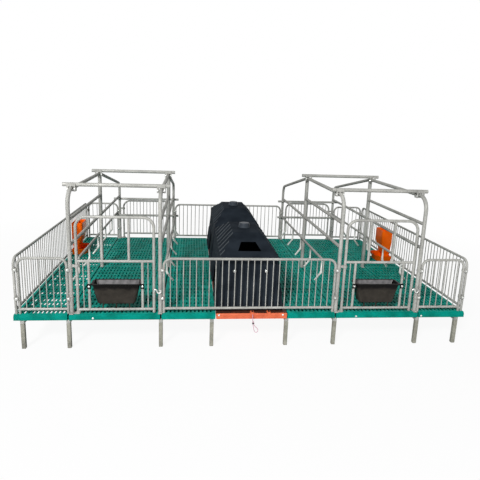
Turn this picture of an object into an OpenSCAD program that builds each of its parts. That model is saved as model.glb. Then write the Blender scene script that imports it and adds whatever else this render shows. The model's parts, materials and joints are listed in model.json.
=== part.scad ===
// Double farrowing crate: a raised slatted platform on galvanised legs with two sow crates,
// a shared piglet house on a heating plate between them and a low tube fence all round.
// Millimetres, +Z up. The origin is on the ground under the middle of the platform,
// +X points to the right of someone in front of the feeding gates and +Y to the back.

/* [Platform] */
// depth of the platform, front to back
pen_d = 2400; // [2100:10:2700]
// height of the slat tops above the ground
floor_h = 280; // [220:5:400]
// thickness of the slat tiles and the heating plate
slat_t = 45; // [30:1:60]
// width of the slat column on either side of a crate
side_tile_w = 400; // [340:5:480]
// width of the slat column under a sow
sow_tile_w = 700; // [660:5:780]
// width of the heating plate between the two crates
heat_w = 600; // [580:5:680]
// gap between neighbouring slat columns
tile_gap = 2; // [1:0.5:5]
// radius of the rounded top edge at the front and back of the floor
nose_r = 14; // [6:1:20]

/* [Legs] */
// width of the square legs and of the floor beams
leg_w = 30; // [24:1:45]
// height of the floor beams
beam_h = 60; // [40:1:90]
// distance from the platform's edge to the middle of the outer legs
leg_inset = 60; // [40:1:120]
// distance from the front and back edge to the middle of a leg
leg_edge = 20; // [20:1:60]

/* [Fence] */
// height of the fence's top rail above the slats, to the middle of the tube
fence_h = 440; // [380:5:520]
// height of the bottom rail above the slats, to the middle of the tube
fence_low = 36; // [25:1:80]
// outside diameter of the fence tube
fence_tube = 20; // [16:1:26]
// bend radius at the fence's top corners
fence_bend = 60; // [40:1:90]
// diameter of the fence bars
bar_d = 8; // [6:0.5:12]
// spacing of the fence bars
bar_pitch = 50; // [40:1:60]
// distance from the platform's edge to the middle of the fence at the front and back
fence_inset = 30; // [25:1:60]
// distance from the platform's edge to the middle of the fence at the sides
side_inset = 15; // [12:1:40]
// height of the lower panel clips above the slats
clip_low = 124; // [80:1:200]
// height of the upper panel clips above the slats
clip_high = 352; // [320:1:356]
// height of a panel clip
clip_h = 12; // [8:1:20]
// wall of a panel clip
clip_wall = 3; // [2:0.5:5]
// length of a clip's bolted ears, front to back
clip_ear = 44; // [36:1:48]
// thickness of the ears
clip_ear_t = 8; // [5:1:12]

/* [Crates] */
// distance from the middle of the platform to the middle of a crate
crate_x = 1040; // [1030:5:1060]
// width of a crate between the middles of its posts
crate_w = 670; // [640:5:700]
// outside diameter of the posts and top tubes
post_d = 30; // [26:1:40]
// outside diameter of the rails between the posts
rail_d = 26; // [20:1:30]
// height of the top tube above the slats
crate_h = 950; // [900:5:1050]
// height at which the sloping rear tube would meet the rear post
rear_h = 700; // [620:5:760]
// distance from the front posts to the middle posts
mid_y = 1165; // [1000:5:1300]
// bend radius of the top tube
post_bend = 110; // [80:5:150]
// height of the upper side rail
upper_rail_h = 735; // [700:5:800]
// height of the second side rail
second_rail_h = 540; // [500:5:600]
// length by which the ties stand out past the posts
tie_overhang = 65; // [40:1:100]
// distance from the front posts to the front tie
front_tie_y = 130; // [115:1:200]
// extra thickness of the middle posts, which take the ends of the top tubes
mid_post_extra = 6; // [4:1:10]
// height of a middle post's end above the middle of the top tube
mid_post_rise = 22; // [21:1:40]
// gap between the middle tie and the middle posts
mid_tie_gap = 2; // [1:1:60]
// height of the upper bar behind the sow
rear_bar_high = 509; // [480:1:512]
// height of the lower bar behind the sow
rear_bar_low = 300; // [260:1:302]
// side of the square foot plates, across the crate
foot_w = 32; // [30:1:34]
// length of the foot plates, front to back
foot_l = 60; // [50:1:60]
// thickness of the foot plates
foot_t = 5; // [3:0.5:8]

/* [Finger rails] */
// height of the finger rail above the slats
finger_rail_h = 330; // [329:1:360]
// diameter of the finger rail
finger_rail_d = 22; // [18:1:24]
// diameter of a finger
finger_d = 14; // [10:1:18]
// number of fingers on a rail
finger_n = 5; // [3:1:6]
// distance from the front posts to the first finger
finger_y = 370; // [300:5:450]
// spacing of the fingers
finger_pitch = 390; // [300:5:420]
// straight length of a finger below its rail
finger_drop = 125; // [80:5:150]
// distance of the rail's end in front of the back fence
finger_end_gap = 5; // [3:1:20]
// length of the finger's slanted end
finger_tip = 85; // [60:5:110]
// bend radius of a finger
finger_bend = 39; // [24:3:60]

/* [Feeding gates] */
// width of the gates between the middles of their stiles
gate_w = 574; // [540:2:580]
// height of the feeding gate's top rail above the slats
gate_h = 760; // [700:5:820]
// height of the feeding gate's middle rail
gate_mid = 419; // [405:1:460]
// height of the gates' bottom rail
gate_low = 32; // [30:1:60]
// outside diameter of the feeding gate's tube
gate_tube = 22; // [18:1:24]
// bend radius at the gates' top corners
gate_bend = 80; // [50:5:100]
// distance between the two uprights above the middle rail
upright_gap = 200; // [160:5:260]
// distance between the two trough tubes below the middle rail
trough_tube_gap = 400; // [380:2:440]
// diameter of the uprights and trough tubes
upright_d = 20; // [16:1:22]
// distance from the gate's middle to the thin outer bars
thin_bar_x = 242; // [230:1:255]
// height of the hinge ring above the slats
hinge_h = 382; // [380:1:385]
// height of a hinge ring
hinge_len = 20; // [14:1:30]
// wall of the hinge rings and foot cups
hinge_wall = 6; // [4:0.5:8]
// height of the foot cups
cup_h = 16; // [12:1:18]
// running clearance of the gate stiles in their rings, on the radius
hinge_play = 0.08; // [0.02:0.01:0.1]
// free height between a stile's end and its foot cup
stile_gap = 0.3; // [0.2:0.05:1]

/* [Rear gates] */
// height of the rear gate's top rail above the slats
rear_gate_h = 478; // [440:1:480]
// outside diameter of the rear gate's tube
rear_gate_tube = 20; // [16:1:20]
// spacing of the rear gate's bars
rear_bar_pitch = 82; // [60:1:100]
// height of the rear gate's bottom rail
rear_gate_low = 60; // [45:1:90]

/* [Troughs] */
// width of the trough at its rim
trough_w = 376; // [340:2:378]
// width of the trough at its bottom
trough_base_w = 286; // [240:2:320]
// depth of the trough at its rim, front to back
trough_d = 130; // [120:1:138]
// depth of the trough at its bottom
trough_base_d = 100; // [96:1:110]
// height of the trough
trough_h = 166; // [130:1:180]
// height of the trough's bottom above the slats
trough_z = 75; // [70:1:100]
// wall of the trough
trough_wall = 6; // [4:0.5:10]
// distance by which the rim stands in front of the gate's middle
trough_front = 24; // [22:1:28]
// width of the rolled rim
trough_rim = 10; // [6:1:11]
// diameter of the pegs that carry the trough
trough_peg_d = 10; // [8:1:14]
// spacing of the pegs
trough_peg_gap = 100; // [80:1:120]

/* [Creep feeders] */
// width of the feeder hopper along the fence
hopper_w = 390; // [340:5:420]
// depth of the hopper
hopper_d = 112; // [90:1:150]
// height of the hopper's upper, straight part
hopper_h = 110; // [80:5:140]
// height of the hopper's tapered part
taper_h = 175; // [140:5:190]
// width of the hopper's throat
throat_w = 286; // [240:2:300]
// depth of the hopper's throat
throat_d = 70; // [50:1:80]
// height of the throat above the slats
throat_z = 72; // [65:1:90]
// radius of the two round pan lobes
lobe_r = 76; // [74:1:85]
// depth of the feeding pan from the fence
pan_d = 200; // [170:5:230]
// height of the feeding pan
pan_h = 52; // [40:1:60]
// wall of the feeders
feeder_wall = 4; // [3:0.5:6]
// distance of the left feeder's middle behind the platform's middle
left_feeder_y = 500; // [300:10:700]
// distance of the right feeder's middle behind the platform's middle
right_feeder_y = 240; // [220:10:600]

/* [Piglet house] */
// length of one house module at its base
house_l = 1080; // [1000:5:1090]
// width of the house at its base
house_w = 556; // [500:2:570]
// height of the house walls
house_h = 430; // [380:5:460]
// distance by which each long wall leans in over its height
house_lean = 48; // [20:1:60]
// distance by which each end wall leans in over its height
end_lean = 18; // [8:1:40]
// wall of the house
house_wall = 8; // [5:0.5:12]
// distance from the platform's front edge to the first module
house_front = 65; // [55:1:75]
// gap between the two modules
house_gap = 30; // [20:1:60]
// height of the lid
lid_h = 135; // [100:5:160]
// overhang of the lid past the walls
lid_lip = 8; // [4:1:12]
// width of the lid's flat top
lid_top_w = 228; // [180:2:260]
// length of the lid's flat top
lid_top_l = 420; // [360:5:500]
// wall of the lid
lid_wall = 6; // [4:0.5:10]
// height of the moulded ribs
rib_h = 5; // [3:0.5:8]
// width of the moulded ribs
rib_w = 16; // [10:1:24]
// spacing of the moulded ribs
rib_pitch = 108; // [80:1:140]
// width of the piglets' doorway
door_w = 260; // [200:5:320]
// height of the piglets' doorway
door_h = 250; // [200:5:300]
// distance from the middle to the knobs on the end wall
knob_x = 126; // [80:1:150]
// height of the knobs above the slats
knob_z = 330; // [260:1:360]
// diameter of the knobs
knob_d = 34; // [24:1:44]
// length of the knobs
knob_l = 30; // [28:1:36]
// edge radius of the knobs
knob_edge = 6; // [3:1:10]
// width of the window in the lid's end slope at its lower edge
window_w = 194; // [150:2:210]
// width of the window at its upper edge
window_top_w = 120; // [90:2:140]
// height of the window's lower edge above the lid's foot
window_z = 34; // [25:1:45]
// height of the window
window_h = 50; // [35:1:60]
// diameter of the lamp cap
cap_d = 112; // [90:1:140]
// height of the lamp cap
cap_h = 50; // [30:1:70]
// edge radius of the lamp cap
cap_edge = 14; // [6:1:20]

/* [Lead] */
// diameter of the heating plate's lead
lead_d = 5; // [4:0.5:6]
// radius of the cable bosses on the heating plate's front edge
boss_r = 20; // [15:1:22]
// height of the bosses above the slats
boss_rise = 10; // [6:1:14]
// length of the bosses, front to back
boss_l = 40; // [25:1:50]
// place of the lead's boss
boss_x = 20; // [10:1:60]
// distance from the lead's boss to the second one
boss_gap = 134; // [100:1:180]
// diameter of the tie round the lead
tie_d = 17; // [16:0.5:22]
// height of the tie
tie_h = 8; // [5:0.5:12]

/* [Hidden] */
$fn = 48;
seat = 0.3;
// a bend is slightly thicker than its straight runs, which end this far inside it
bend_swell = 0.4;
run_in = 2;
thin_fn = 8;
lead_fn = 10;
pen_w = heat_w + 2 * sow_tile_w + 4 * side_tile_w;
y_front = -pen_d / 2;
y_back = pen_d / 2;
y_gate = y_front + fence_inset;
y_rear = y_back - fence_inset;
beam_top = floor_h - slat_t;
// a finger's end slopes three out for every four down
finger_out = 0.6 * finger_tip;
finger_fall = 0.8 * finger_tip;
half_crate = crate_w / 2;
half_gate = gate_w / 2;
hinge_reach = half_crate - half_gate;
inner_post_x = crate_x - half_crate;
outer_post_x = crate_x + half_crate;
side_fence_x = pen_w / 2 - side_inset;
panel_gap = (post_d + fence_tube) / 2 + 2;
corner_x = side_fence_x - fence_tube - 7;
joint_x = [heat_w / 2, heat_w / 2 + side_tile_w, heat_w / 2 + side_tile_w + sow_tile_w];
leg_x = concat(joint_x, [pen_w / 2 - leg_inset]);
leg_y = [y_front + leg_edge, 0, y_back - leg_edge];
lid_w = house_w - 2 * house_lean + 2 * lid_lip;
lid_l = house_l - 2 * end_lean + 2 * lid_lip;
tie_z = crate_h + post_d + seat;
mid_post_d = post_d + mid_post_extra;
mid_tie_y = mid_y - (mid_post_d + post_d) / 2 - mid_tie_gap;
house_y = [y_front + house_front + house_l / 2,
           y_front + house_front + house_l * 1.5 + house_gap];
galvanised = "#b9bdbf";
slat_green = "#0f7f6c";
plate_orange = "#e0673c";
feeder_orange = "#f26a0a";
house_black = "#24282e";
trough_black = "#2a2725";
lead_mauve = "#a5838d";

// the lead leaves its boss, hangs down, makes one loop and ends at the tie
lead_z = floor_h - 8;
lead_points = [
    [0, 0, 0], [0, -8, 0], [0, -15, -2], [0, -20, -7], [0, -22, -14], [0, -22, -24], [1, -22, -36],
    [2, -22, -50], [3, -22, -64], [5, -22, -78], [8, -22, -92], [11, -22, -106], [13, -22, -118],
    [16, -22, -130], [22, -22, -139], [30, -23, -143], [38, -24, -140], [44, -25, -132], [45, -26, -121],
    [41, -27, -110], [33, -28, -100], [24, -29, -91], [16, -29, -82], [11, -29, -73], [9, -29, -64],
    [8, -29, -54], [8, -29, -44]];
tie_at = [5.5, -25.5, -64];

// tube along straight runs in the XY plane with bends of one radius between them
module bent_tube(path, d, bend) {
    n = len(path);
    heading = [for (i = [0:n - 2]) atan2(path[i + 1][1] - path[i][1], path[i + 1][0] - path[i][0])];
    turn = [for (i = [0:n - 1]) (i == 0 || i == n - 1) ? 0 : wrap(heading[i] - heading[i - 1])];
    trim = [for (a = turn) a == 0 ? 0 : bend * tan(abs(a) / 2) - run_in];
    for (i = [0:n - 2]) {
        run = norm(path[i + 1] - path[i]) - trim[i] - trim[i + 1];
        translate(concat(path[i] + trim[i] * unit(heading[i]), [0]))
            rotate([0, 90, heading[i]])
                cylinder(h = run, d = d);
    }
    for (i = [1:1:n - 2]) {
        side = turn[i] > 0 ? 90 : -90;
        centre = path[i] - (trim[i] + run_in) * unit(heading[i - 1]) + bend * unit(heading[i - 1] + side);
        first = turn[i] > 0 ? heading[i - 1] - 90 : heading[i - 1] + 90 + turn[i];
        translate(concat(centre, [0]))
            rotate(first)
                rotate_extrude(angle = abs(turn[i]))
                    translate([bend, 0])
                        circle(d = d + bend_swell);
    }
}

function unit(a) = [cos(a), sin(a)];
function wrap(a) = a > 180 ? a - 360 : a < -180 ? a + 360 : a;

// rectangular block that tapers evenly from its base to its top
module frustum(base_w, base_l, top_w, top_l, h) {
    intersection() {
        rotate([90, 0, 0])
            linear_extrude(height = base_l + top_l, center = true)
                polygon([[-base_w / 2, 0], [base_w / 2, 0], [top_w / 2, h], [-top_w / 2, h]]);
        rotate([90, 0, 90])
            linear_extrude(height = base_w + top_w, center = true)
                polygon([[-base_l / 2, 0], [base_l / 2, 0], [top_l / 2, h], [-top_l / 2, h]]);
    }
}

// fence panel in the XZ plane from 0 to its length, standing on its two stiles
module fence_panel(length) {
    bays = round((length - fence_tube) / bar_pitch);
    rotate([90, 0, 0])
        bent_tube([[0, 0], [0, fence_h], [length, fence_h], [length, 0]], fence_tube, fence_bend);
    translate([0, 0, fence_low])
        rotate([0, 90, 0])
            cylinder(h = length, d = fence_tube);
    for (i = [1:bays - 1]) {
        x = i * length / bays;
        rise = corner_rise(x, length);
        translate([x, 0, fence_low])
            cylinder(h = fence_h - fence_low - rise, d = bar_d, $fn = thin_fn);
    }
}

// drop of the panel's top edge at a distance along it, where its corner bends
function corner_rise(x, length) =
    let (from_end = min(x, length - x))
    from_end >= fence_bend ? 0 : fence_bend - sqrt(pow(fence_bend, 2) - pow(fence_bend - from_end, 2));

module legs() {
    color(galvanised)
        for (s = [-1, 1], x = leg_x, y = leg_y)
            translate([s * x - leg_w / 2, y - leg_w / 2, 0])
                cube([leg_w, leg_w, beam_top - beam_h]);
}

module beams() {
    color(galvanised)
        for (s = [-1, 1], x = leg_x)
            translate([s * x - leg_w / 2, y_front + leg_edge - leg_w / 2, beam_top - beam_h])
                cube([leg_w, pen_d - 2 * leg_edge + leg_w, beam_h]);
}

// slab of the floor between two distances from the middle, with rounded front and back edges
module floor_slab(x0, x1) {
    translate([x0, 0, beam_top])
        rotate([90, 0, 90])
            linear_extrude(height = x1 - x0)
                union() {
                    translate([y_front, 0])
                        square([pen_d, slat_t - nose_r]);
                    translate([y_front + nose_r, 0])
                        square([pen_d - 2 * nose_r, slat_t]);
                    for (s = [-1, 1])
                        translate([s * (pen_d / 2 - nose_r), slat_t - nose_r])
                            circle(r = nose_r);
                }
}

module slats() {
    edges = concat(joint_x, [pen_w / 2]);
    color(slat_green)
        for (i = [0:2])
            floor_slab(edges[i] + tile_gap / 2, edges[i + 1] - (i < 2 ? tile_gap / 2 : 0));
}

module left_slats() {
    mirror([1, 0, 0])
        slats();
}

module right_slats() {
    slats();
}

module heat_plate() {
    color(plate_orange)
        union() {
            floor_slab(-heat_w / 2 + tile_gap / 2, heat_w / 2 - tile_gap / 2);
            for (x = [boss_x, boss_x + boss_gap])
                translate([x, y_front, floor_h + boss_rise - boss_r])
                    rotate([-90, 0, 0])
                        cylinder(r = boss_r, h = boss_l);
        }
}

// panels of the front or back fence
module corner_panel(side, y) {
    x = side < 0 ? -corner_x : outer_post_x + panel_gap;
    color(galvanised)
        translate([x, y, floor_h])
            fence_panel(corner_x - outer_post_x - panel_gap);
}

module centre_panel(y) {
    half = inner_post_x - panel_gap;
    color(galvanised)
        translate([-half, y, floor_h])
            fence_panel(2 * half);
}

module side_panel(side) {
    color(galvanised)
        translate([side * side_fence_x, y_gate, floor_h])
            rotate(90)
                fence_panel(y_rear - y_gate);
}

module front_left_panel() {
    corner_panel(-1, y_gate);
}

module front_centre_panel() {
    centre_panel(y_gate);
}

module front_right_panel() {
    corner_panel(1, y_gate);
}

module back_left_panel() {
    corner_panel(-1, y_rear);
}

module back_centre_panel() {
    centre_panel(y_rear);
}

module back_right_panel() {
    corner_panel(1, y_rear);
}

module left_side_panel() {
    side_panel(-1);
}

module right_side_panel() {
    side_panel(1);
}

// clamp round two upright tubes, the first at the origin and the second at +X
module tube_clamp(first_d, second_d, apart) {
    middle = (first_d - second_d + 2 * apart) / 4;
    linear_extrude(height = clip_h, center = true)
        difference() {
            union() {
                circle(d = first_d + 2 * clip_wall);
                translate([apart, 0])
                    circle(d = second_d + 2 * clip_wall);
                translate([middle - clip_ear_t / 2, -clip_ear / 2])
                    square([clip_ear_t, clip_ear]);
            }
            circle(d = first_d + 2 * seat);
            translate([apart, 0])
                circle(d = second_d + 2 * seat);
        }
}

// clamps that hold the fence panels to the posts and to one another
module panel_clips() {
    color(galvanised)
        for (s = [0, 1], y = [y_gate, y_rear], z = [clip_low, clip_high])
            mirror([s, 0, 0])
                translate([0, y, floor_h + z]) {
                    translate([inner_post_x, 0, 0])
                        rotate(180)
                            tube_clamp(post_d, fence_tube, panel_gap);
                    translate([outer_post_x, 0, 0])
                        tube_clamp(post_d, fence_tube, panel_gap);
                    translate([corner_x, 0, 0])
                        tube_clamp(fence_tube, fence_tube, side_fence_x - corner_x);
                }
}

// ring on a strap that holds a gate stile, with its axis at the origin and the post at -reach
module hinge_ring(stile_d) {
    difference() {
        union() {
            cylinder(h = hinge_len, d = stile_d + 2 * hinge_wall, center = true);
            translate([-hinge_reach, -hinge_wall / 2, -hinge_len / 2])
                cube([hinge_reach, hinge_wall, hinge_len]);
        }
        cylinder(h = 2 * hinge_len, r = stile_d / 2 + hinge_play, center = true);
    }
}

// cup on the floor under a gate stile, tied to the foot plate of the post
module hinge_cup(stile_d) {
    difference() {
        union() {
            cylinder(h = cup_h, d = stile_d + 2 * hinge_wall);
            translate([-hinge_reach, -foot_w / 2, 0])
                cube([hinge_reach, foot_w, foot_t]);
        }
        translate([0, 0, foot_t])
            cylinder(h = cup_h, r = stile_d / 2 + hinge_play);
    }
}

module gate_hinge(side, stile_d) {
    mirror([side < 0 ? 1 : 0, 0, 0])
        translate([hinge_reach, 0, 0]) {
            hinge_cup(stile_d);
            translate([0, 0, hinge_h])
                hinge_ring(stile_d);
        }
}

// side frame of a crate in the YZ plane; front and rear say on which side it carries a gate
module crate_side(x, front, rear) {
    depth = y_rear - y_gate;
    root = foot_t / 2;
    color(galvanised)
        translate([x, y_gate, floor_h]) {
            rotate([90, 0, 90]) {
                bent_tube([[0, root], [0, crate_h], [mid_y, crate_h]], post_d, post_bend);
                bent_tube([[mid_y, crate_h], [depth, rear_h], [depth, root]], post_d, post_bend);
                bent_tube([[mid_y, root], [mid_y, crate_h + mid_post_rise]], mid_post_d, post_bend);
                bent_tube([[0, upper_rail_h], [mid_y, upper_rail_h]], rail_d, post_bend);
                bent_tube([[0, second_rail_h], [depth, second_rail_h]], rail_d, post_bend);
            }
            for (y = [0, mid_y, depth])
                translate([-foot_w / 2, y - foot_l / 2, 0])
                    cube([foot_w, foot_l, foot_t]);
            if (front != 0)
                gate_hinge(front, gate_tube);
            if (rear != 0)
                translate([0, depth, 0])
                    gate_hinge(rear, rear_gate_tube);
        }
}

module left_crate_outer_side() {
    crate_side(-outer_post_x, 1, 1);
}

module left_crate_inner_side() {
    crate_side(-inner_post_x, 0, 0);
}

module right_crate_inner_side() {
    crate_side(inner_post_x, 1, 0);
}

module right_crate_outer_side() {
    crate_side(outer_post_x, 0, -1);
}

// low rail outside the posts with fingers that bend away from the sow
module finger_rail(x, side) {
    reach = (mid_post_d + finger_rail_d) / 2 + seat;
    color(galvanised)
        translate([x + side * reach, y_gate, floor_h + finger_rail_h])
            mirror([side > 0 ? 1 : 0, 0, 0])
                fingers();
}

// finger rail along +Y with its fingers towards -X
module fingers() {
    rail_l = y_rear - fence_tube / 2 - finger_end_gap - y_gate - finger_y + finger_d;
    union() {
        translate([0, finger_y - finger_d, 0])
            rotate([-90, 0, 0])
                cylinder(h = rail_l, d = finger_rail_d);
        for (i = [0:finger_n - 1])
            translate([0, finger_y + i * finger_pitch, 0])
                rotate([90, 0, 0])
                    bent_tube([[0, 0], [0, -finger_drop], [-finger_out, -finger_drop - finger_fall]],
                              finger_d, finger_bend);
    }
}

module left_outer_finger_rail() {
    finger_rail(-outer_post_x, -1);
}

module left_inner_finger_rail() {
    finger_rail(-inner_post_x, 1);
}

module right_inner_finger_rail() {
    finger_rail(inner_post_x, -1);
}

module right_outer_finger_rail() {
    finger_rail(outer_post_x, 1);
}

// tube across a crate, with its middle at the given place
module cross_tube(x, y, z, d) {
    translate([x - half_crate - tie_overhang, y, z])
        rotate([0, 90, 0])
            cylinder(h = crate_w + 2 * tie_overhang, d = d);
}

// two ties that lie across the top tubes
module crate_ties(x) {
    color(galvanised)
        for (y = [front_tie_y, mid_tie_y])
            cross_tube(x, y_gate + y, floor_h + tie_z, post_d);
}

// two bars against the rear posts, behind the sow
module rear_bars(x) {
    color(galvanised)
        for (z = [rear_bar_low, rear_bar_high])
            cross_tube(x, y_rear - (post_d + rail_d) / 2 - seat, floor_h + z, rail_d);
}

module left_crate_ties() {
    crate_ties(-crate_x);
}

module right_crate_ties() {
    crate_ties(crate_x);
}

module left_rear_bars() {
    rear_bars(-crate_x);
}

module right_rear_bars() {
    rear_bars(crate_x);
}

// upright bar of a gate at a distance from its middle, between two heights
module gate_bar(x, z0, z1, d, faces) {
    translate([x, 0, z0])
        cylinder(h = z1 - z0, d = d, $fn = faces);
}

module gate_rail(z, d) {
    translate([-half_gate, 0, z])
        rotate([0, 90, 0])
            cylinder(h = gate_w, d = d);
}

// bent outer tube of a gate, standing in its foot cups
module gate_hoop(h, d) {
    foot = foot_t + stile_gap;
    rotate([90, 0, 0])
        bent_tube([[-half_gate, foot], [-half_gate, h], [half_gate, h], [half_gate, foot]], d, gate_bend);
}

module front_gate(x) {
    color(galvanised)
        translate([x, y_gate, floor_h])
            union() {
                gate_hoop(gate_h, gate_tube);
                gate_rail(gate_mid, upright_d);
                gate_rail(gate_low, upright_d);
                for (s = [-1, 1]) {
                    gate_bar(s * upright_gap / 2, gate_mid, gate_h, upright_d, $fn);
                    gate_bar(s * trough_tube_gap / 2, gate_low, gate_mid, upright_d, $fn);
                    gate_bar(s * thin_bar_x, gate_low, gate_mid, bar_d, thin_fn);
                }
            }
}

module rear_gate(x) {
    bays = round(gate_w / rear_bar_pitch);
    color(galvanised)
        translate([x, y_rear, floor_h])
            union() {
                gate_hoop(rear_gate_h, rear_gate_tube);
                gate_rail(rear_gate_low, rear_gate_tube);
                for (i = [1:bays - 1])
                    gate_bar(-half_gate + i * gate_w / bays, rear_gate_low, rear_gate_h, bar_d, thin_fn);
            }
}

module left_front_gate() {
    front_gate(-crate_x);
}

module right_front_gate() {
    front_gate(crate_x);
}

module left_rear_gate() {
    rear_gate(-crate_x);
}

module right_rear_gate() {
    rear_gate(crate_x);
}

// trough between the two trough tubes, carried by pegs on the gate's bottom rail
module trough(x) {
    peg_h = trough_z - gate_low - upright_d / 2 - seat;
    slope = (trough_w - trough_base_w) / 2 / trough_h;
    side = trough_wall * sqrt(1 + slope * slope);
    color(trough_black)
        translate([x, y_gate - trough_front + trough_d / 2, floor_h + trough_z])
            difference() {
                union() {
                    frustum(trough_base_w, trough_base_d, trough_w, trough_d, trough_h);
                    translate([-trough_w / 2, -trough_d / 2, trough_h - trough_rim])
                        cube([trough_w, trough_d, trough_rim]);
                    for (s = [-1, 0, 1])
                        translate([s * trough_peg_gap, trough_front - trough_d / 2, -peg_h])
                            cylinder(h = peg_h + trough_wall, d = trough_peg_d);
                }
                translate([0, 0, trough_wall])
                    frustum(trough_base_w - 2 * side, trough_base_d - 2 * side,
                            trough_w - 2 * side, trough_d - 2 * side, trough_h - trough_wall + 0.01);
            }
}

module left_trough() {
    trough(-crate_x);
}

module right_trough() {
    trough(crate_x);
}

// body of a hopper with its back at x = 0 and its front towards -X, made smaller all round by an inset
module hopper_body(inset) {
    top_z = throat_z + taper_h + hopper_h;
    crease_z = throat_z + taper_h;
    intersection() {
        rotate([90, 0, 0])
            linear_extrude(height = 2 * hopper_w, center = true)
                polygon([[-inset, throat_z - inset], [-inset, top_z + inset],
                         [inset - hopper_d, top_z + inset], [inset - hopper_d, crease_z],
                         [inset - throat_d, throat_z], [inset - throat_d, throat_z - inset]]);
        rotate([90, 0, 90])
            linear_extrude(height = 4 * hopper_d, center = true)
                polygon([[inset - throat_w / 2, throat_z - inset], [throat_w / 2 - inset, throat_z - inset],
                         [throat_w / 2 - inset, throat_z], [hopper_w / 2 - inset, crease_z],
                         [hopper_w / 2 - inset, top_z + inset], [inset - hopper_w / 2, top_z + inset],
                         [inset - hopper_w / 2, crease_z], [inset - throat_w / 2, throat_z]]);
    }
}

// outline of the feeding pan with two round lobes, made smaller all round by an inset
module pan_outline(inset) {
    lobe_x = lobe_r - pan_d;
    translate([lobe_x, inset - 2 * lobe_r])
        square([-lobe_x - inset, 4 * lobe_r - 2 * inset]);
    for (s = [-1, 1])
        translate([lobe_x, s * lobe_r])
            circle(r = lobe_r - inset);
}

// hopper over an open pan with a divider between its two places; the fence is at +X
module feeder() {
    translate([-fence_tube / 2 - seat, 0, 0]) {
        difference() {
            union() {
                hopper_body(0);
                for (s = [-1, 1])
                    translate([-throat_d, s * (throat_w - feeder_wall) / 2 - feeder_wall / 2, 0])
                        cube([throat_d, feeder_wall, throat_z + feeder_wall]);
                translate([-feeder_wall, -throat_w / 2, 0])
                    cube([feeder_wall, throat_w, throat_z + feeder_wall]);
            }
            hopper_body(feeder_wall);
        }
        difference() {
            linear_extrude(height = pan_h)
                pan_outline(0);
            translate([0, 0, feeder_wall])
                linear_extrude(height = pan_h)
                    difference() {
                        pan_outline(feeder_wall);
                        translate([-pan_d, -feeder_wall / 2])
                            square([pan_d - throat_d, feeder_wall]);
                    }
        }
    }
}

module left_feeder() {
    color(feeder_orange)
        translate([-side_fence_x, left_feeder_y, floor_h])
            rotate(180)
                feeder();
}

module right_feeder() {
    color(feeder_orange)
        translate([side_fence_x, right_feeder_y, floor_h])
            feeder();
}

// walls of one house module with its front towards -Y, open below and above, with ribs outside,
// a doorway on either side and two knobs on its front
module house() {
    top_w = house_w - 2 * house_lean;
    top_l = house_l - 2 * end_lean;
    color(house_black)
        difference() {
            union() {
                frustum(house_w - 2 * rib_h, house_l - 2 * rib_h, top_w - 2 * rib_h, top_l - 2 * rib_h,
                        house_h);
                intersection() {
                    frustum(house_w, house_l, top_w, top_l, house_h);
                    wall_ribs();
                }
                for (s = [-1, 1])
                    translate([s * knob_x, knob_l - house_l / 2, knob_z])
                        rotate([90, 0, 0])
                            round_cap(knob_d, knob_l, knob_edge);
            }
            translate([0, 0, -1])
                frustum(house_w - 2 * rib_h - 2 * house_wall, house_l - 2 * rib_h - 2 * house_wall,
                        top_w - 2 * rib_h - 2 * house_wall, top_l - 2 * rib_h - 2 * house_wall, house_h + 2);
            translate([-house_w, -door_w / 2, -1])
                cube([2 * house_w, door_w, door_h + 1]);
        }
}

module wall_ribs() {
    along = floor(house_l / 2 / rib_pitch);
    across = floor(house_w / 2 / rib_pitch);
    for (i = [-along:along])
        translate([-house_w, i * rib_pitch - rib_w / 2, 0])
            cube([2 * house_w, rib_w, house_h]);
    for (i = [-across:across])
        translate([i * rib_pitch - rib_w / 2, -house_l, 0])
            cube([rib_w, 2 * house_l, house_h]);
}

// hipped lid with ribs on its long slopes and a window in its front slope
module house_lid() {
    ribs = floor(lid_l / 2 / rib_pitch);
    color(house_black)
        difference() {
            union() {
                frustum(lid_w - 2 * rib_h, lid_l, lid_top_w, lid_top_l, lid_h);
                intersection() {
                    frustum(lid_w, lid_l, lid_top_w + 2 * rib_h, lid_top_l, lid_h);
                    for (i = [-ribs:ribs])
                        translate([-lid_w, i * rib_pitch - rib_w / 2, 0])
                            cube([2 * lid_w, rib_w, lid_h]);
                }
            }
            translate([0, 0, -0.01])
                frustum(lid_w - 2 * rib_h - 4 * lid_wall, lid_l - 4 * lid_wall,
                        lid_top_w - 2 * lid_wall, lid_top_l - 2 * lid_wall, lid_h - lid_wall);
            translate([0, -lid_top_l / 2, window_z])
                rotate([90, 0, 0])
                    linear_extrude(height = lid_l)
                        polygon([[-window_w / 2, 0], [window_w / 2, 0],
                                 [window_top_w / 2, window_h], [-window_top_w / 2, window_h]]);
        }
}

// round cap with a rounded upper edge, standing on the XY plane
module round_cap(d, h, edge) {
    rotate_extrude()
        union() {
            square([d / 2, h - edge]);
            square([d / 2 - edge, h]);
            translate([d / 2 - edge, h - edge])
                intersection() {
                    circle(r = edge);
                    square(edge);
                }
        }
}

module lamp_cap(y) {
    color(house_black)
        translate([0, y, floor_h + house_h + lid_h])
            round_cap(cap_d, cap_h, cap_edge);
}

module front_house() {
    translate([0, house_y[0], floor_h])
        house();
}

module back_house() {
    translate([0, house_y[1], floor_h])
        rotate(180)
            house();
}

module front_house_lid() {
    translate([0, house_y[0], floor_h + house_h])
        house_lid();
}

module back_house_lid() {
    translate([0, house_y[1], floor_h + house_h])
        rotate(180)
            house_lid();
}

module front_lamp_cap() {
    lamp_cap(house_y[0]);
}

module back_lamp_cap() {
    lamp_cap(house_y[1]);
}

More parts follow.
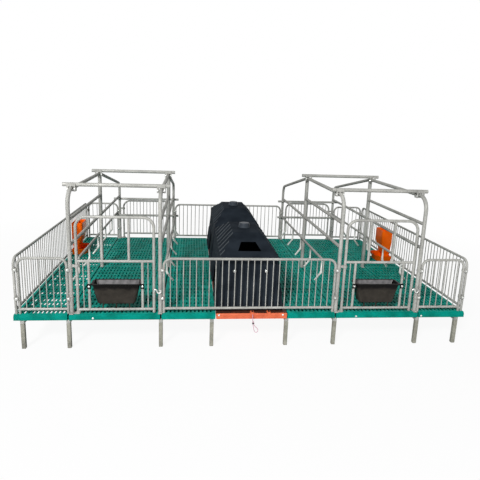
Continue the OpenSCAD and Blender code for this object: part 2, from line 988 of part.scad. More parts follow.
// closed tube along a list of points
module swept_tube(points, d, sides) {
    n = len(points);
    lean = [0.6, -0.8, 0];
    ahead = [for (i = [0:n - 1]) points[min(i + 1, n - 1)] - points[max(i - 1, 0)]];
    across = [for (a = ahead) cross(a, lean) / norm(cross(a, lean))];
    upward = [for (i = [0:n - 1]) cross(across[i], ahead[i]) / norm(ahead[i])];
    rings = [for (i = [0:n - 1], k = [0:sides - 1])
        points[i] + d / 2 * (cos(k * 360 / sides) * across[i] + sin(k * 360 / sides) * upward[i])];
    walls = [for (i = [0:n - 2], k = [0:sides - 1])
        [i * sides + k, (i + 1) * sides + k, (i + 1) * sides + (k + 1) % sides, i * sides + (k + 1) % sides]];
    ends = [[for (k = [0:sides - 1]) k], [for (k = [0:sides - 1]) n * sides - 1 - k]];
    polyhedron(points = rings, faces = concat(walls, ends), convexity = 6);
}

module heat_lead() {
    color(lead_mauve)
        translate([boss_x, y_front, lead_z])
            swept_tube(lead_points, lead_d, lead_fn);
}

module lead_tie() {
    color(trough_black)
        translate([boss_x, y_front, lead_z] + tie_at)
            cylinder(h = tie_h, d = tie_d, center = true);
}

legs();
beams();
left_slats();
right_slats();
heat_plate();
front_left_panel();
front_centre_panel();
front_right_panel();
back_left_panel();
back_centre_panel();
back_right_panel();
left_side_panel();
right_side_panel();
panel_clips();
left_crate_outer_side();
left_crate_inner_side();
right_crate_inner_side();
right_crate_outer_side();
left_outer_finger_rail();
left_inner_finger_rail();
right_inner_finger_rail();
right_outer_finger_rail();
left_crate_ties();
right_crate_ties();
left_rear_bars();
right_rear_bars();
left_front_gate();
right_front_gate();
left_trough();
right_trough();
left_rear_gate();
right_rear_gate();
left_feeder();
right_feeder();
front_house();
back_house();
front_house_lid();
back_house_lid();
front_lamp_cap();
back_lamp_cap();
heat_lead();
lead_tie();
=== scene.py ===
"""Looks of a double farrowing crate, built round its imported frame.

Metres, +Z up. The origin is on the ground under the middle of the platform, +X points to the
right of someone in front of the feeding gates and +Y to the back.
"""

from __future__ import annotations

import json
import logging
import math
from collections.abc import Callable, Iterable, Sequence
from dataclasses import dataclass, field
from enum import Enum

import bmesh
import bpy
from mathutils import Matrix, Vector

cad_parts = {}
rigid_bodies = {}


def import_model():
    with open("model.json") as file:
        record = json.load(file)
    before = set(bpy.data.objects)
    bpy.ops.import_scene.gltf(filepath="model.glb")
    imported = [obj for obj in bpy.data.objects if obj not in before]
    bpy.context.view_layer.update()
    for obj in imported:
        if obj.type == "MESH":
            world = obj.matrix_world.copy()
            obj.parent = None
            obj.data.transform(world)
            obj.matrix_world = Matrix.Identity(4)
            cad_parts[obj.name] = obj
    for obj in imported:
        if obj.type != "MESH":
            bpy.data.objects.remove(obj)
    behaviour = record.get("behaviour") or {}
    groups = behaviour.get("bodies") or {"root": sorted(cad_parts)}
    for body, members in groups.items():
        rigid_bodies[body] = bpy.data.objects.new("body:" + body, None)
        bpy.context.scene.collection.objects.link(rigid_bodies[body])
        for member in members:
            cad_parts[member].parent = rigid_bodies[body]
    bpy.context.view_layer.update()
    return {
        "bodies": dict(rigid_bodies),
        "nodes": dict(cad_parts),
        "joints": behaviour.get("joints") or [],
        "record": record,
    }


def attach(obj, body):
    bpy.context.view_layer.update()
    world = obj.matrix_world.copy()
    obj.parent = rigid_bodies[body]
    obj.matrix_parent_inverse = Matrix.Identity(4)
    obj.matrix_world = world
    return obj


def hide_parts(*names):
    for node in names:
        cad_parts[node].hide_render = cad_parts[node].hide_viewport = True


LOG = logging.getLogger("farrowing_crate")
WHITE = (1.0, 1.0, 1.0, 1.0)
FLAT = 0.95  # normals steeper than this along Z belong to level faces
SAME = 1e-5  # places nearer than this are one place
Point = tuple[float, float, float]
Span = tuple[float, float]
Piece = bpy.types.Object
Tree = bpy.types.ShaderNodeTree
Node = bpy.types.ShaderNode
Socket = bpy.types.NodeSocket
Painted = tuple[Socket, Socket, Socket]
PairTest = Callable[[Vector, Vector], bool]


class Side(Enum):
    """The two halves of the pen, by the sign of their X."""

    LEFT = -1
    RIGHT = 1

    @property
    def word(self) -> str:
        """The half's word in the names of pieces."""
        return self.name.lower()


class Nose(Enum):
    """Which end of a floor tile is rounded because it shows at the pen's edge."""

    FRONT = -1
    NONE = 0
    BACK = 1


class Element(Enum):
    """What is picked in edit mode, with Blender's word for it."""

    FACE = "FACE"
    EDGE = "EDGE"
    CORNER = "VERT"


class Bend(Enum):
    """How a rod follows its points, with Blender's word for it."""

    THROUGH = "POLY"
    SMOOTH = "NURBS"


@dataclass(frozen=True)
class Pen:
    """Sizes that the pieces of the pen share."""

    floor: float = 0.280
    front: float = -1.200
    gate_y: float = -1.170
    rear_y: float = 1.170
    crate_x: float = 1.040
    half_crate: float = 0.335
    half_gate: float = 0.287
    mid_post_y: float = -0.005
    top_tube_z: float = 1.230
    tie_z: float = 1.2603
    tie_y: Span = (-1.040, -0.040)
    post_r: float = 0.015

    def post_x(self) -> tuple[float, float, float, float]:
        """The posts' places across the pen, from left to right."""
        outer, inner = self.crate_x + self.half_crate, self.crate_x - self.half_crate
        return -outer, -inner, inner, outer


PEN = Pen()
# the two halves differ a little: how far in the tiles start and where the feeders stand
PLATE_EDGE = {Side.LEFT: 0.267, Side.RIGHT: 0.300}
FEEDER_Y = {Side.LEFT: 0.520, Side.RIGHT: 0.300}
HOUSE_Y = {"front": -0.595, "back": 0.515}
FINGER_RAIL_X = {"inner": 0.6757, "outer": 1.4043}


def linear(code: str) -> tuple[float, float, float, float]:
    """Turn an sRGB hex value into linear RGBA.

    Args:
        code: Colour such as "#0f8a74".

    Returns:
        Linear red, green, blue and an alpha of 1.
    """
    parts = [int(code[i:i + 2], 16) / 255 for i in (1, 3, 5)]
    light = [c / 12.92 if c <= 0.04045 else ((c + 0.055) / 1.055) ** 2.4 for c in parts]
    return light[0], light[1], light[2], 1.0


def add_node(tree: Tree, kind: str, settings: dict | None = None,
             links: dict | None = None) -> Node:
    """Add one shader node with its settings and links.

    Args:
        tree: Node tree of a material or world.
        kind: Blender's name of the node.
        settings: Values for the node's own properties or for its inputs, by name or number.
        links: Output sockets to join to inputs, by the input's name or number.

    Returns:
        The new node.
    """
    made = tree.nodes.new(kind)
    for name, value in (settings or {}).items():
        if isinstance(name, str) and hasattr(made, name):
            setattr(made, name, value)
        else:
            made.inputs[name].default_value = value
    for name, source in (links or {}).items():
        tree.links.new(source, made.inputs[name])
    return made


@dataclass(frozen=True)
class Finish:
    """A surface as it was made: its colours, gloss and the real size of its pattern."""

    name: str
    base: str
    dark: str
    light: str
    roughness: float
    cloud_mm: float
    grain_mm: float = 3.0
    bump_mm: float = 0.1
    metallic: float = 0.0
    ior: float = 1.5
    shine: float = 0.5

    def material(self) -> bpy.types.Material:
        """Make the Blender material of this finish.

        Returns:
            A material with a painted Principled shader.
        """
        made = bpy.data.materials.new(self.name)
        made.use_nodes = True
        tree = made.node_tree
        shader = tree.nodes["Principled BSDF"]
        shader.inputs["Metallic"].default_value = self.metallic
        shader.inputs["IOR"].default_value = self.ior
        shader.inputs["Specular IOR Level"].default_value = self.shine
        place = add_node(tree, "ShaderNodeTexCoord").outputs["Object"]
        for name, source in zip(("Base Color", "Roughness", "Normal"), self.paint(tree, place)):
            tree.links.new(source, shader.inputs[name])
        made.diffuse_color = linear(self.base)
        return made

    def paint(self, tree: Tree, place: Socket) -> Painted:
        """Paint a moulded surface: slow clouds of shade, fine pale scuffs and a grained skin.

        Args:
            tree: The material's node tree.
            place: Object coordinates in metres.

        Returns:
            Colour, roughness and normal.
        """
        sizes = ((self.cloud_mm, 4.0, 0.5), (self.cloud_mm / 4, 8.0, 0.7),
                 (self.grain_mm, 2.0, 0.5))
        cloud, scuff, grain = (
            add_node(tree, "ShaderNodeTexNoise",
                     {"Scale": 1000 / size_mm, "Detail": detail, "Roughness": rough},
                     {"Vector": place}).outputs["Fac"] for size_mm, detail, rough in sizes)
        shade = add_node(tree, "ShaderNodeValToRGB", links={"Fac": cloud})
        stops = ((0.30, self.dark), (0.62, self.base))
        for mark, (position, code) in zip(shade.color_ramp.elements, stops):
            mark.position, mark.color = position, linear(code)
        worn = add_node(tree, "ShaderNodeMapRange",
                        {"From Min": 0.60, "From Max": 0.78, "To Max": 0.55}, {"Value": scuff})
        # inputs 6 and 7 of a mix are its two colours and output 2 is the mixed one
        colour = add_node(tree, "ShaderNodeMix", {"data_type": "RGBA", 7: linear(self.light)},
                          {0: worn.outputs[0], 6: shade.outputs["Color"]})
        gloss = add_node(tree, "ShaderNodeMapRange",
                         {"To Min": self.roughness - 0.08, "To Max": self.roughness + 0.10},
                         {"Value": scuff})
        bump = add_node(tree, "ShaderNodeBump",
                        {"Strength": 0.35, "Distance": self.bump_mm / 1000}, {"Height": grain})
        return colour.outputs[2], gloss.outputs[0], bump.outputs["Normal"]


@dataclass(frozen=True)
class ZincCoat(Finish):
    """Steel coated with zinc: pale crystals of spangle, darker where the zinc has weathered.

    Weathered zinc is dull: its shine is next to nothing, so that tubes keep their dark edges in
    white surroundings.
    """

    grain_mm: float = 12.0
    bump_mm: float = 0.2
    metallic: float = 0.1
    shine: float = 0.0027

    def paint(self, tree: Tree, place: Socket) -> Painted:
        """Paint spangle, drawn coarser than life so that it shows, and weathered clouds.

        Args:
            tree: The material's node tree.
            place: Object coordinates in metres.

        Returns:
            Colour, roughness and normal.
        """
        spangle = add_node(tree, "ShaderNodeTexVoronoi", {"Scale": 1000 / self.grain_mm},
                           {"Vector": place})
        tint = add_node(tree, "ShaderNodeSeparateColor", links={"Color": spangle.outputs["Color"]})
        cloud = add_node(tree, "ShaderNodeTexNoise",
                         {"Scale": 1000 / self.cloud_mm, "Detail": 6.0}, {"Vector": place})
        blend = add_node(tree, "ShaderNodeMath", {"operation": "MULTIPLY_ADD", 1: 0.18},
                         {0: tint.outputs["Red"], 2: cloud.outputs["Fac"]})
        shade = add_node(tree, "ShaderNodeValToRGB", links={"Fac": blend.outputs[0]})
        marks = shade.color_ramp.elements
        for mark, (position, code) in zip(marks, ((0.38, self.dark), (0.95, self.light))):
            mark.position, mark.color = position, linear(code)
        marks.new(0.62).color = linear(self.base)
        gloss = add_node(tree, "ShaderNodeMapRange",
                         {"To Min": self.roughness - 0.06, "To Max": self.roughness + 0.14},
                         {"Value": tint.outputs["Green"]})
        bump = add_node(tree, "ShaderNodeBump",
                        {"Strength": 0.25, "Distance": self.bump_mm / 1000},
                        {"Height": cloud.outputs["Fac"]})
        return shade.outputs["Color"], gloss.outputs[0], bump.outputs["Normal"]


@dataclass(frozen=True)
class FedTrough(Finish):
    """A trough's plastic, with a ragged black band round the top: partly wetted plastic, partly
    painted shade of the overhanging rim.
    """

    wet: str = "#090808"
    wet_from: float = 0.466
    wet_to: float = 0.490
    ragged_mm: float = 35.0
    ragged_by: float = 0.05

    def paint(self, tree: Tree, place: Socket) -> Painted:
        """Paint the moulded surface and then the band.

        Args:
            tree: The material's node tree.
            place: Object coordinates in metres.

        Returns:
            Colour, roughness and normal.
        """
        body_colour, gloss, normal = super().paint(tree, place)
        height = add_node(tree, "ShaderNodeSeparateXYZ", links={0: place}).outputs["Z"]
        ragged = add_node(tree, "ShaderNodeTexNoise",
                          {"Scale": 1000 / self.ragged_mm, "Detail": 5.0}, {"Vector": place})
        level = add_node(tree, "ShaderNodeMath",
                         {"operation": "MULTIPLY_ADD", 1: self.ragged_by},
                         {0: ragged.outputs["Fac"], 2: height})
        half = self.ragged_by / 2
        # the ragged black band round the top is partly wetted plastic and partly painted shade of
        # the rim
        band = add_node(tree, "ShaderNodeMapRange",
                        {"From Min": self.wet_from + half, "From Max": self.wet_to + half},
                        {"Value": level.outputs[0]})
        colour = add_node(tree, "ShaderNodeMix", {"data_type": "RGBA", 7: linear(self.wet)},
                          {0: band.outputs[0], 6: body_colour})
        return colour.outputs[2], gloss, normal


# tube bent, welded and then dipped in zinc: pale, half dull metal with a faint crystal pattern
GALVANISED = ZincCoat("hot_dip_galvanised_steel", "#a4a49f", "#949490", "#b9b8b4",
                      roughness=0.36, cloud_mm=160.0)
# legs cut from square tube and dipped too, rougher, and painted darker as painted shade under the
# platform
SHADED_LEG_ZINC = ZincCoat("dulled_galvanised_steel", "#908f84", "#797870", "#a9a89e",
                     roughness=0.50, cloud_mm=120.0, metallic=0.05)
# fingers of the low rails, dipped too and painted paler: painted light on the fingers
LIT_FINGER_ZINC = ZincCoat("rubbed_galvanised_steel", "#e4e3de", "#cbcac4", "#f3f2ef",
                       roughness=0.36, cloud_mm=160.0)
# small fasteners plated with bright zinc: whiter and smoother than the dipped tube
BRIGHT_ZINC = ZincCoat("bright_zinc_plated_steel", "#d9dbd8", "#b2b4b0", "#f2f3f0",
                       roughness=0.26, cloud_mm=60.0, grain_mm=6.0, bump_mm=0.1, metallic=0.9,
                       shine=0.5)
# polypropylene tiles from a grained mould: an even teal with a soft sheen and paler scuffs
SLAT_PLASTIC = Finish("moulded_polypropylene_teal", "#058779", "#046a5d", "#119a8a",
                      roughness=0.46, cloud_mm=90.0, grain_mm=2.5, bump_mm=0.15, ior=1.1)
# the top faces of the tiles: the same plastic, paler
PALE_SLAT_TOP = Finish("rubbed_polypropylene_teal", "#079b8b", "#057a6c", "#1cb3a2",
                     roughness=0.42, cloud_mm=90.0, grain_mm=2.5, bump_mm=0.15, ior=1.1)
# heating plate cast in orange polymer: matt and slightly mottled
HEAT_PLATE = Finish("cast_polymer_orange", "#d4653d", "#be5430", "#e08460",
                    roughness=0.55, cloud_mm=60.0, bump_mm=0.2)
# the top of the heating plate: the same casting in a dark brown
DARK_PLATE_TOP = Finish("cast_polymer_stained_brown", "#4f2d22", "#33201a", "#7a4a38",
                       roughness=0.50, cloud_mm=60.0, bump_mm=0.2, ior=1.2)
# polyethylene feeders from a polished mould: a strong orange with a wet gloss
FEEDER_PLASTIC = Finish("moulded_polyethylene_orange", "#fa6a0a", "#ea5a04", "#ff9038",
                        roughness=0.28, cloud_mm=120.0, grain_mm=4.0, ior=1.2)
# house and lids moulded in blue-black polyethylene: a satin skin that greys where it is rubbed
HOUSE_PLASTIC = Finish("moulded_polyethylene_black", "#282e35", "#1c2127", "#373e46",
                       roughness=0.40, cloud_mm=150.0, ior=1.015)
# ribs of the house and lids: the same moulding painted grey as a painted highlight on the ribs
RIB_HIGHLIGHT_HOUSE = Finish("rubbed_polyethylene_black", "#51565a", "#404548", "#656a6d",
                      roughness=0.40, cloud_mm=150.0, ior=1.015)
# lamp caps from a polished mould: the same black painted lighter as a painted highlight, with a
# clearer gloss
HIGHLIGHTED_CAP_PLASTIC = Finish("polished_polyethylene_black", "#3c4249", "#2e3339", "#545a61",
                     roughness=0.30, cloud_mm=150.0, ior=1.12)
# troughs moulded in black plastic, dusted brown by feed below the mouth, with a ragged black band
# round the top: partly wetted plastic, partly painted shade of the overhanging rim
TROUGH_PLASTIC = FedTrough("moulded_trough_plastic", "#34302b", "#26231f", "#443e38",
                           roughness=0.38, cloud_mm=70.0, grain_mm=4.0, bump_mm=0.15, ior=1.2)
# back wall of a trough on the inside: grey
PALE_INNER_WALL = Finish("dried_feed_film", "#8b898a", "#5d5c5e", "#b2b1b3",
                   roughness=0.35, cloud_mm=40.0, bump_mm=0.2, ior=1.3)
# lead sheathed in soft mauve rubber
LEAD_SHEATH = Finish("rubber_sheath_mauve", "#d0a2b2", "#b98b9b", "#dfbac6",
                     roughness=0.55, cloud_mm=20.0, grain_mm=1.0, bump_mm=0.05)
# tie moulded in black rubber
TIE_RUBBER = Finish("black_rubber", "#1f1d1d", "#141313", "#3a3737",
                    roughness=0.6, cloud_mm=20.0, grain_mm=1.0, bump_mm=0.05)

SLOT_FINISH: dict[str, Finish] = {
    "galvanised_steel": GALVANISED, "slat_plastic": SLAT_PLASTIC, "heat_plate": HEAT_PLATE,
    "feeder_plastic": FEEDER_PLASTIC, "house_plastic": HOUSE_PLASTIC, "trough": TROUGH_PLASTIC,
    "lead": LEAD_SHEATH, "tie": TIE_RUBBER}


@dataclass
class PaintShop:
    """Makes each finish once and gives it to the pieces that have it."""

    made: dict[str, bpy.types.Material] = field(default_factory=dict)

    def material(self, finish: Finish) -> bpy.types.Material:
        """The material of a finish, made on first use.

        Args:
            finish: The finish.

        Returns:
            Its material.
        """
        if finish.name not in self.made:
            self.made[finish.name] = finish.material()
        return self.made[finish.name]

    def coat(self, piece: Piece, finish: Finish) -> None:
        """Give a piece one finish all over."""
        piece.data.materials.clear()
        piece.data.materials.append(self.material(finish))

    def coat_frame(self, frame: dict) -> None:
        """Give every CAD node of the loaded frame the finish of its material slot."""
        for row in frame["record"]["subparts"]:
            self.coat(frame["nodes"][row["node"]], SLOT_FINISH[row["material_slot"]])

    def patch(self, piece: Piece, finish: Finish, test: PairTest) -> None:
        """Give a second finish to the faces of a coated piece that pass a test.

        Args:
            piece: The coated piece.
            finish: The second finish.
            test: Takes a face's middle and normal.
        """
        piece.data.materials.append(self.material(finish))
        for face in piece.data.polygons:
            if test(face.center, face.normal):
                face.material_index = len(piece.data.materials) - 1

    def hand_over(self, piece: Piece, finish: Finish, body: str, slot: str, *nodes: str) -> None:
        """Dress a finished piece and hang it on the frame.

        Args:
            piece: The modelled piece.
            finish: Its surface.
            body: The CAD body that it moves with.
            slot: The record's material slot; not used.
            nodes: CAD nodes that it stands for.
        """
        self.coat(piece, finish)
        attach(piece, body)
        if nodes:
            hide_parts(*nodes)
        LOG.info("%s: %d faces on %s", piece.name, len(piece.data.polygons), body)


def deselect_all() -> None:
    """Leave edit mode and deselect every object."""
    if bpy.context.object is not None and bpy.context.object.mode != "OBJECT":
        leave_edit()
    bpy.ops.object.select_all(action="DESELECT")


def activate(piece: Piece) -> None:
    """Make a piece the only selected and the active object.

    Args:
        piece: The piece.
    """
    deselect_all()
    piece.select_set(True)
    bpy.context.view_layer.objects.active = piece


def edit(piece: Piece) -> None:
    """Go into edit mode on a piece with all of its faces selected.

    Args:
        piece: The piece to shape.
    """
    activate(piece)
    bpy.ops.object.mode_set(mode="EDIT")
    bpy.ops.mesh.select_mode(type=Element.FACE.value)
    bpy.ops.mesh.select_all(action="SELECT")


def leave_edit() -> None:
    """Go back to object mode."""
    bpy.ops.object.mode_set(mode="OBJECT")


def pick(piece: Piece, kind: Element, test: Callable[..., bool]) -> None:
    """Select in edit mode only the faces, edges or corners that pass a test.

    Args:
        piece: The piece in edit mode.
        kind: What is picked.
        test: Takes a face's middle and normal, an edge's two ends or a corner's place.
    """
    bpy.ops.mesh.select_mode(type=kind.value)
    bpy.ops.mesh.select_all(action="DESELECT")
    mesh = bmesh.from_edit_mesh(piece.data)
    if kind is Element.FACE:
        for face in mesh.faces:
            face.select_set(test(face.calc_center_median(), face.normal))
    elif kind is Element.EDGE:
        for edge in mesh.edges:
            edge.select_set(test(edge.verts[0].co, edge.verts[1].co))
    else:
        for corner in mesh.verts:
            corner.select_set(test(corner.co))
        mesh.select_flush(True)
    bmesh.update_edit_mesh(piece.data)


def faces_up(middle: Vector, normal: Vector) -> bool:
    """Whether a face lies level and looks up."""
    return normal.z > FLAT


def faces_down(middle: Vector, normal: Vector) -> bool:
    """Whether a face lies level and looks down."""
    return normal.z < -FLAT


def upright(one: Vector, other: Vector) -> bool:
    """Whether an edge of a blank runs up its side."""
    return abs(one.z - other.z) > 0.05


def round_edges(piece: Piece, test: PairTest, radius: float, segments: int) -> None:
    """Round in edit mode the edges that pass a test on their two ends."""
    pick(piece, Element.EDGE, test)
    bpy.ops.mesh.bevel(offset=radius, segments=segments, affect="EDGES")


def move_corners(piece: Piece, test: Callable[[Vector], bool], step: Point) -> None:
    """Move in edit mode the corners that pass a test on their place."""
    pick(piece, Element.CORNER, test)
    bpy.ops.transform.translate(value=step)


def pull(height: float) -> None:
    """Extrude the selected faces upwards, or downwards with a negative height."""
    bpy.ops.mesh.extrude_region_move(TRANSFORM_OT_translate={"value": (0, 0, height)})


def resize(across: float, along: float, centre: Point) -> None:
    """Scale what is selected along X and Y about a place."""
    bpy.ops.transform.resize(value=(across, along, 1), center_override=centre)


def smooth(angle: float = 50) -> None:
    """Shade the active piece smooth, apart from edges sharper than an angle in degrees."""
    bpy.ops.object.shade_smooth_by_angle(angle=math.radians(angle))


def settle(name: str, scale: Point = (1, 1, 1)) -> Piece:
    """Name the shape that was just added and put its place and scale into its mesh.

    Args:
        name: Name of the piece.
        scale: Scale along X, Y and Z.

    Returns:
        The new piece.
    """
    piece = bpy.context.active_object
    piece.name, piece.scale = name, scale
    bpy.ops.object.transform_apply(location=True, rotation=True, scale=True)
    return piece


def box_blank(name: str, size: Point, centre: Point = (0, 0, 0)) -> Piece:
    """Start a piece from a box.

    Args:
        name: Name of the piece.
        size: Lengths along X, Y and Z.
        centre: Middle of the box.

    Returns:
        The new piece.
    """
    deselect_all()
    bpy.ops.mesh.primitive_cube_add(size=1.0, location=centre)
    return settle(name, size)


def plate_blank(name: str, size: Span, centre: Point = (0, 0, 0)) -> Piece:
    """Start a piece from a flat plate that faces up.

    Args:
        name: Name of the piece.
        size: Lengths along X and Y.
        centre: Middle of the plate.

    Returns:
        The new piece.
    """
    deselect_all()
    bpy.ops.mesh.primitive_plane_add(size=1.0, location=centre)
    return settle(name, (*size, 1.0))


def round_blank(name: str, radius: float, length: float, centre: Point, sides: int) -> Piece:
    """Start a piece from an upright round bar.

    Args:
        name: Name of the piece.
        radius: Radius of the bar.
        length: Length along its axis.
        centre: Middle of the bar.
        sides: Number of sides.

    Returns:
        The new piece.
    """
    deselect_all()
    bpy.ops.mesh.primitive_cylinder_add(vertices=sides, radius=radius, depth=length,
                                        location=centre)
    return settle(name)


def rod(name: str, points: Sequence[Point], radius: float, bend: Bend, fineness: int) -> Piece:
    """Lay a round rod along a line of points.

    Args:
        name: Name of the piece.
        points: Points that the rod follows.
        radius: Radius of the rod.
        bend: How it follows them.
        fineness: Fineness of its round section.

    Returns:
        The rod as a curve.
    """
    line = bpy.data.curves.new(name, "CURVE")
    line.dimensions, line.bevel_depth, line.bevel_resolution = "3D", radius, fineness
    line.use_fill_caps = True
    run = line.splines.new(bend.value)
    run.points.add(len(points) - 1)
    for spot, point in zip(run.points, points):
        spot.co = (*point, 1.0)
    if bend is Bend.SMOOTH:
        line.resolution_u = run.order_u = 4
        run.use_endpoint_u = True
    piece = bpy.data.objects.new(name, line)
    bpy.context.collection.objects.link(piece)
    return piece


def finish_with(piece: Piece, kind: str, **settings: object) -> None:
    """Add a modifier to a piece and apply it.

    Args:
        piece: The piece.
        kind: Blender's name of the modifier.
        settings: The modifier's values.
    """
    activate(piece)
    step = piece.modifiers.new(kind.title(), kind)
    for name, value in settings.items():
        setattr(step, name, value)
    bpy.ops.object.modifier_apply(modifier=step.name)


def soften(piece: Piece, width: float, segments: int = 2, angle: float = 35) -> Piece:
    """Round the sharp edges of a piece and shade it smooth between them.

    Args:
        piece: The piece.
        width: Width of the rounded edge.
        segments: Faces across a rounded edge.
        angle: Edges sharper than this, in degrees, are rounded.

    Returns:
        The same piece.
    """
    finish_with(piece, "BEVEL", width=width, segments=segments, limit_method="ANGLE",
                angle_limit=math.radians(angle), use_clamp_overlap=True)
    smooth(40)
    finish_with(piece, "WEIGHTED_NORMAL", keep_sharp=True)
    return piece


def join(name: str, parts: Sequence[Piece]) -> Piece:
    """Join pieces to one piece.

    Args:
        name: Name of the joined piece.
        parts: The pieces to join.

    Returns:
        The joined piece.
    """
    deselect_all()
    for part in parts:
        part.select_set(True)
    bpy.context.view_layer.objects.active = parts[0]
    bpy.ops.object.join()
    piece = bpy.context.active_object
    piece.name = piece.data.name = name
    return piece


def copies(blank: Piece, places: Iterable[Matrix]) -> list[Piece]:
    """Copy a modelled shape to places, each copy with its own mesh, and drop the first one.

    Args:
        blank: The shape, modelled at the origin.
        places: Where the copies go.

    Returns:
        The copies.
    """
    made = []
    for place in places:
        twin = bpy.data.objects.new(blank.name, blank.data.copy())
        twin.data.transform(place)
        bpy.context.collection.objects.link(twin)
        made.append(twin)
    bpy.data.objects.remove(blank)
    return made


def at(x: float, y: float, z: float, turn: float = 0.0, axis: str = "Z",
       scale: float = 1.0) -> Matrix:
    """A place for a copy: scaled, then turned in degrees about one axis, then shifted."""
    turned = Matrix.Translation((x, y, z)) @ Matrix.Rotation(math.radians(turn), 4, axis)
    return turned @ Matrix.Scale(scale, 4)


@dataclass(frozen=True)
class PhotoCamera:
    """Camera fitted to the photograph, whose frame is square."""

    place: Point = (-0.4684, -4.4858, 1.7412)
    yaw: float = 5.798
    pitch: float = -11.763
    roll: float = 1.987
    focal_px: float = 446.87
    middle_px: Span = (236.37, 217.89)
    frame_px: float = 480.0
    sensor_mm: float = 36.0
    sees_to: float = 100.0

    def build(self) -> None:
        """Make the camera and use it for the scene."""
        yaw, pitch, roll = (math.radians(a) for a in (self.yaw, self.pitch, self.roll))
        level = math.cos(pitch)
        ahead = Vector((math.sin(yaw) * level, math.cos(yaw) * level, math.sin(pitch)))
        flat = Vector((math.cos(yaw), -math.sin(yaw), 0))
        above = flat.cross(ahead)
        right = math.cos(roll) * flat + math.sin(roll) * above
        up = -math.sin(roll) * flat + math.cos(roll) * above
        deselect_all()
        bpy.ops.object.camera_add()
        camera = bpy.context.active_object
        turn = Matrix((right, up, -ahead)).transposed().to_4x4()
        camera.matrix_world = Matrix.Translation(self.place) @ turn
        lens = camera.data
        lens.sensor_width = self.sensor_mm
        lens.lens = self.focal_px / self.frame_px * self.sensor_mm
        lens.shift_x = 0.5 - self.middle_px[0] / self.frame_px
        lens.shift_y = self.middle_px[1] / self.frame_px - 0.5
        lens.clip_end = self.sees_to
        bpy.context.scene.camera = camera


@dataclass
class Lead:
    """The heating plate's lead: it leaves a boss, hangs down, makes one loop and ends at a tie."""

    shop: PaintShop
    start: Point = (0.020, -1.200, 0.272)
    diameter: float = 0.005
    route_mm: tuple[Point, ...] = (
        (0, 0, 0), (0, -8, 0), (0, -15, -2), (0, -20, -7), (0, -22, -14), (0, -22, -24),
        (1, -22, -36), (2, -22, -50), (3, -22, -64), (5, -22, -78), (8, -22, -92),
        (11, -22, -106), (13, -22, -118), (16, -22, -130), (22, -22, -139), (30, -23, -143),
        (38, -24, -140), (44, -25, -132), (45, -26, -121), (41, -27, -110), (33, -28, -100),
        (24, -29, -91), (16, -29, -82), (11, -29, -73), (9, -29, -64), (8, -29, -54),
        (8, -29, -44))

    def build(self, frame: dict) -> None:
        points = [Vector(self.start) + Vector(step) / 1000 for step in self.route_mm]
        lead = rod("heating_lead", points, self.diameter / 2, Bend.THROUGH, 4)
        self.shop.coat(lead, LEAD_SHEATH)
        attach(lead, "pen")
        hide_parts("heat_lead")


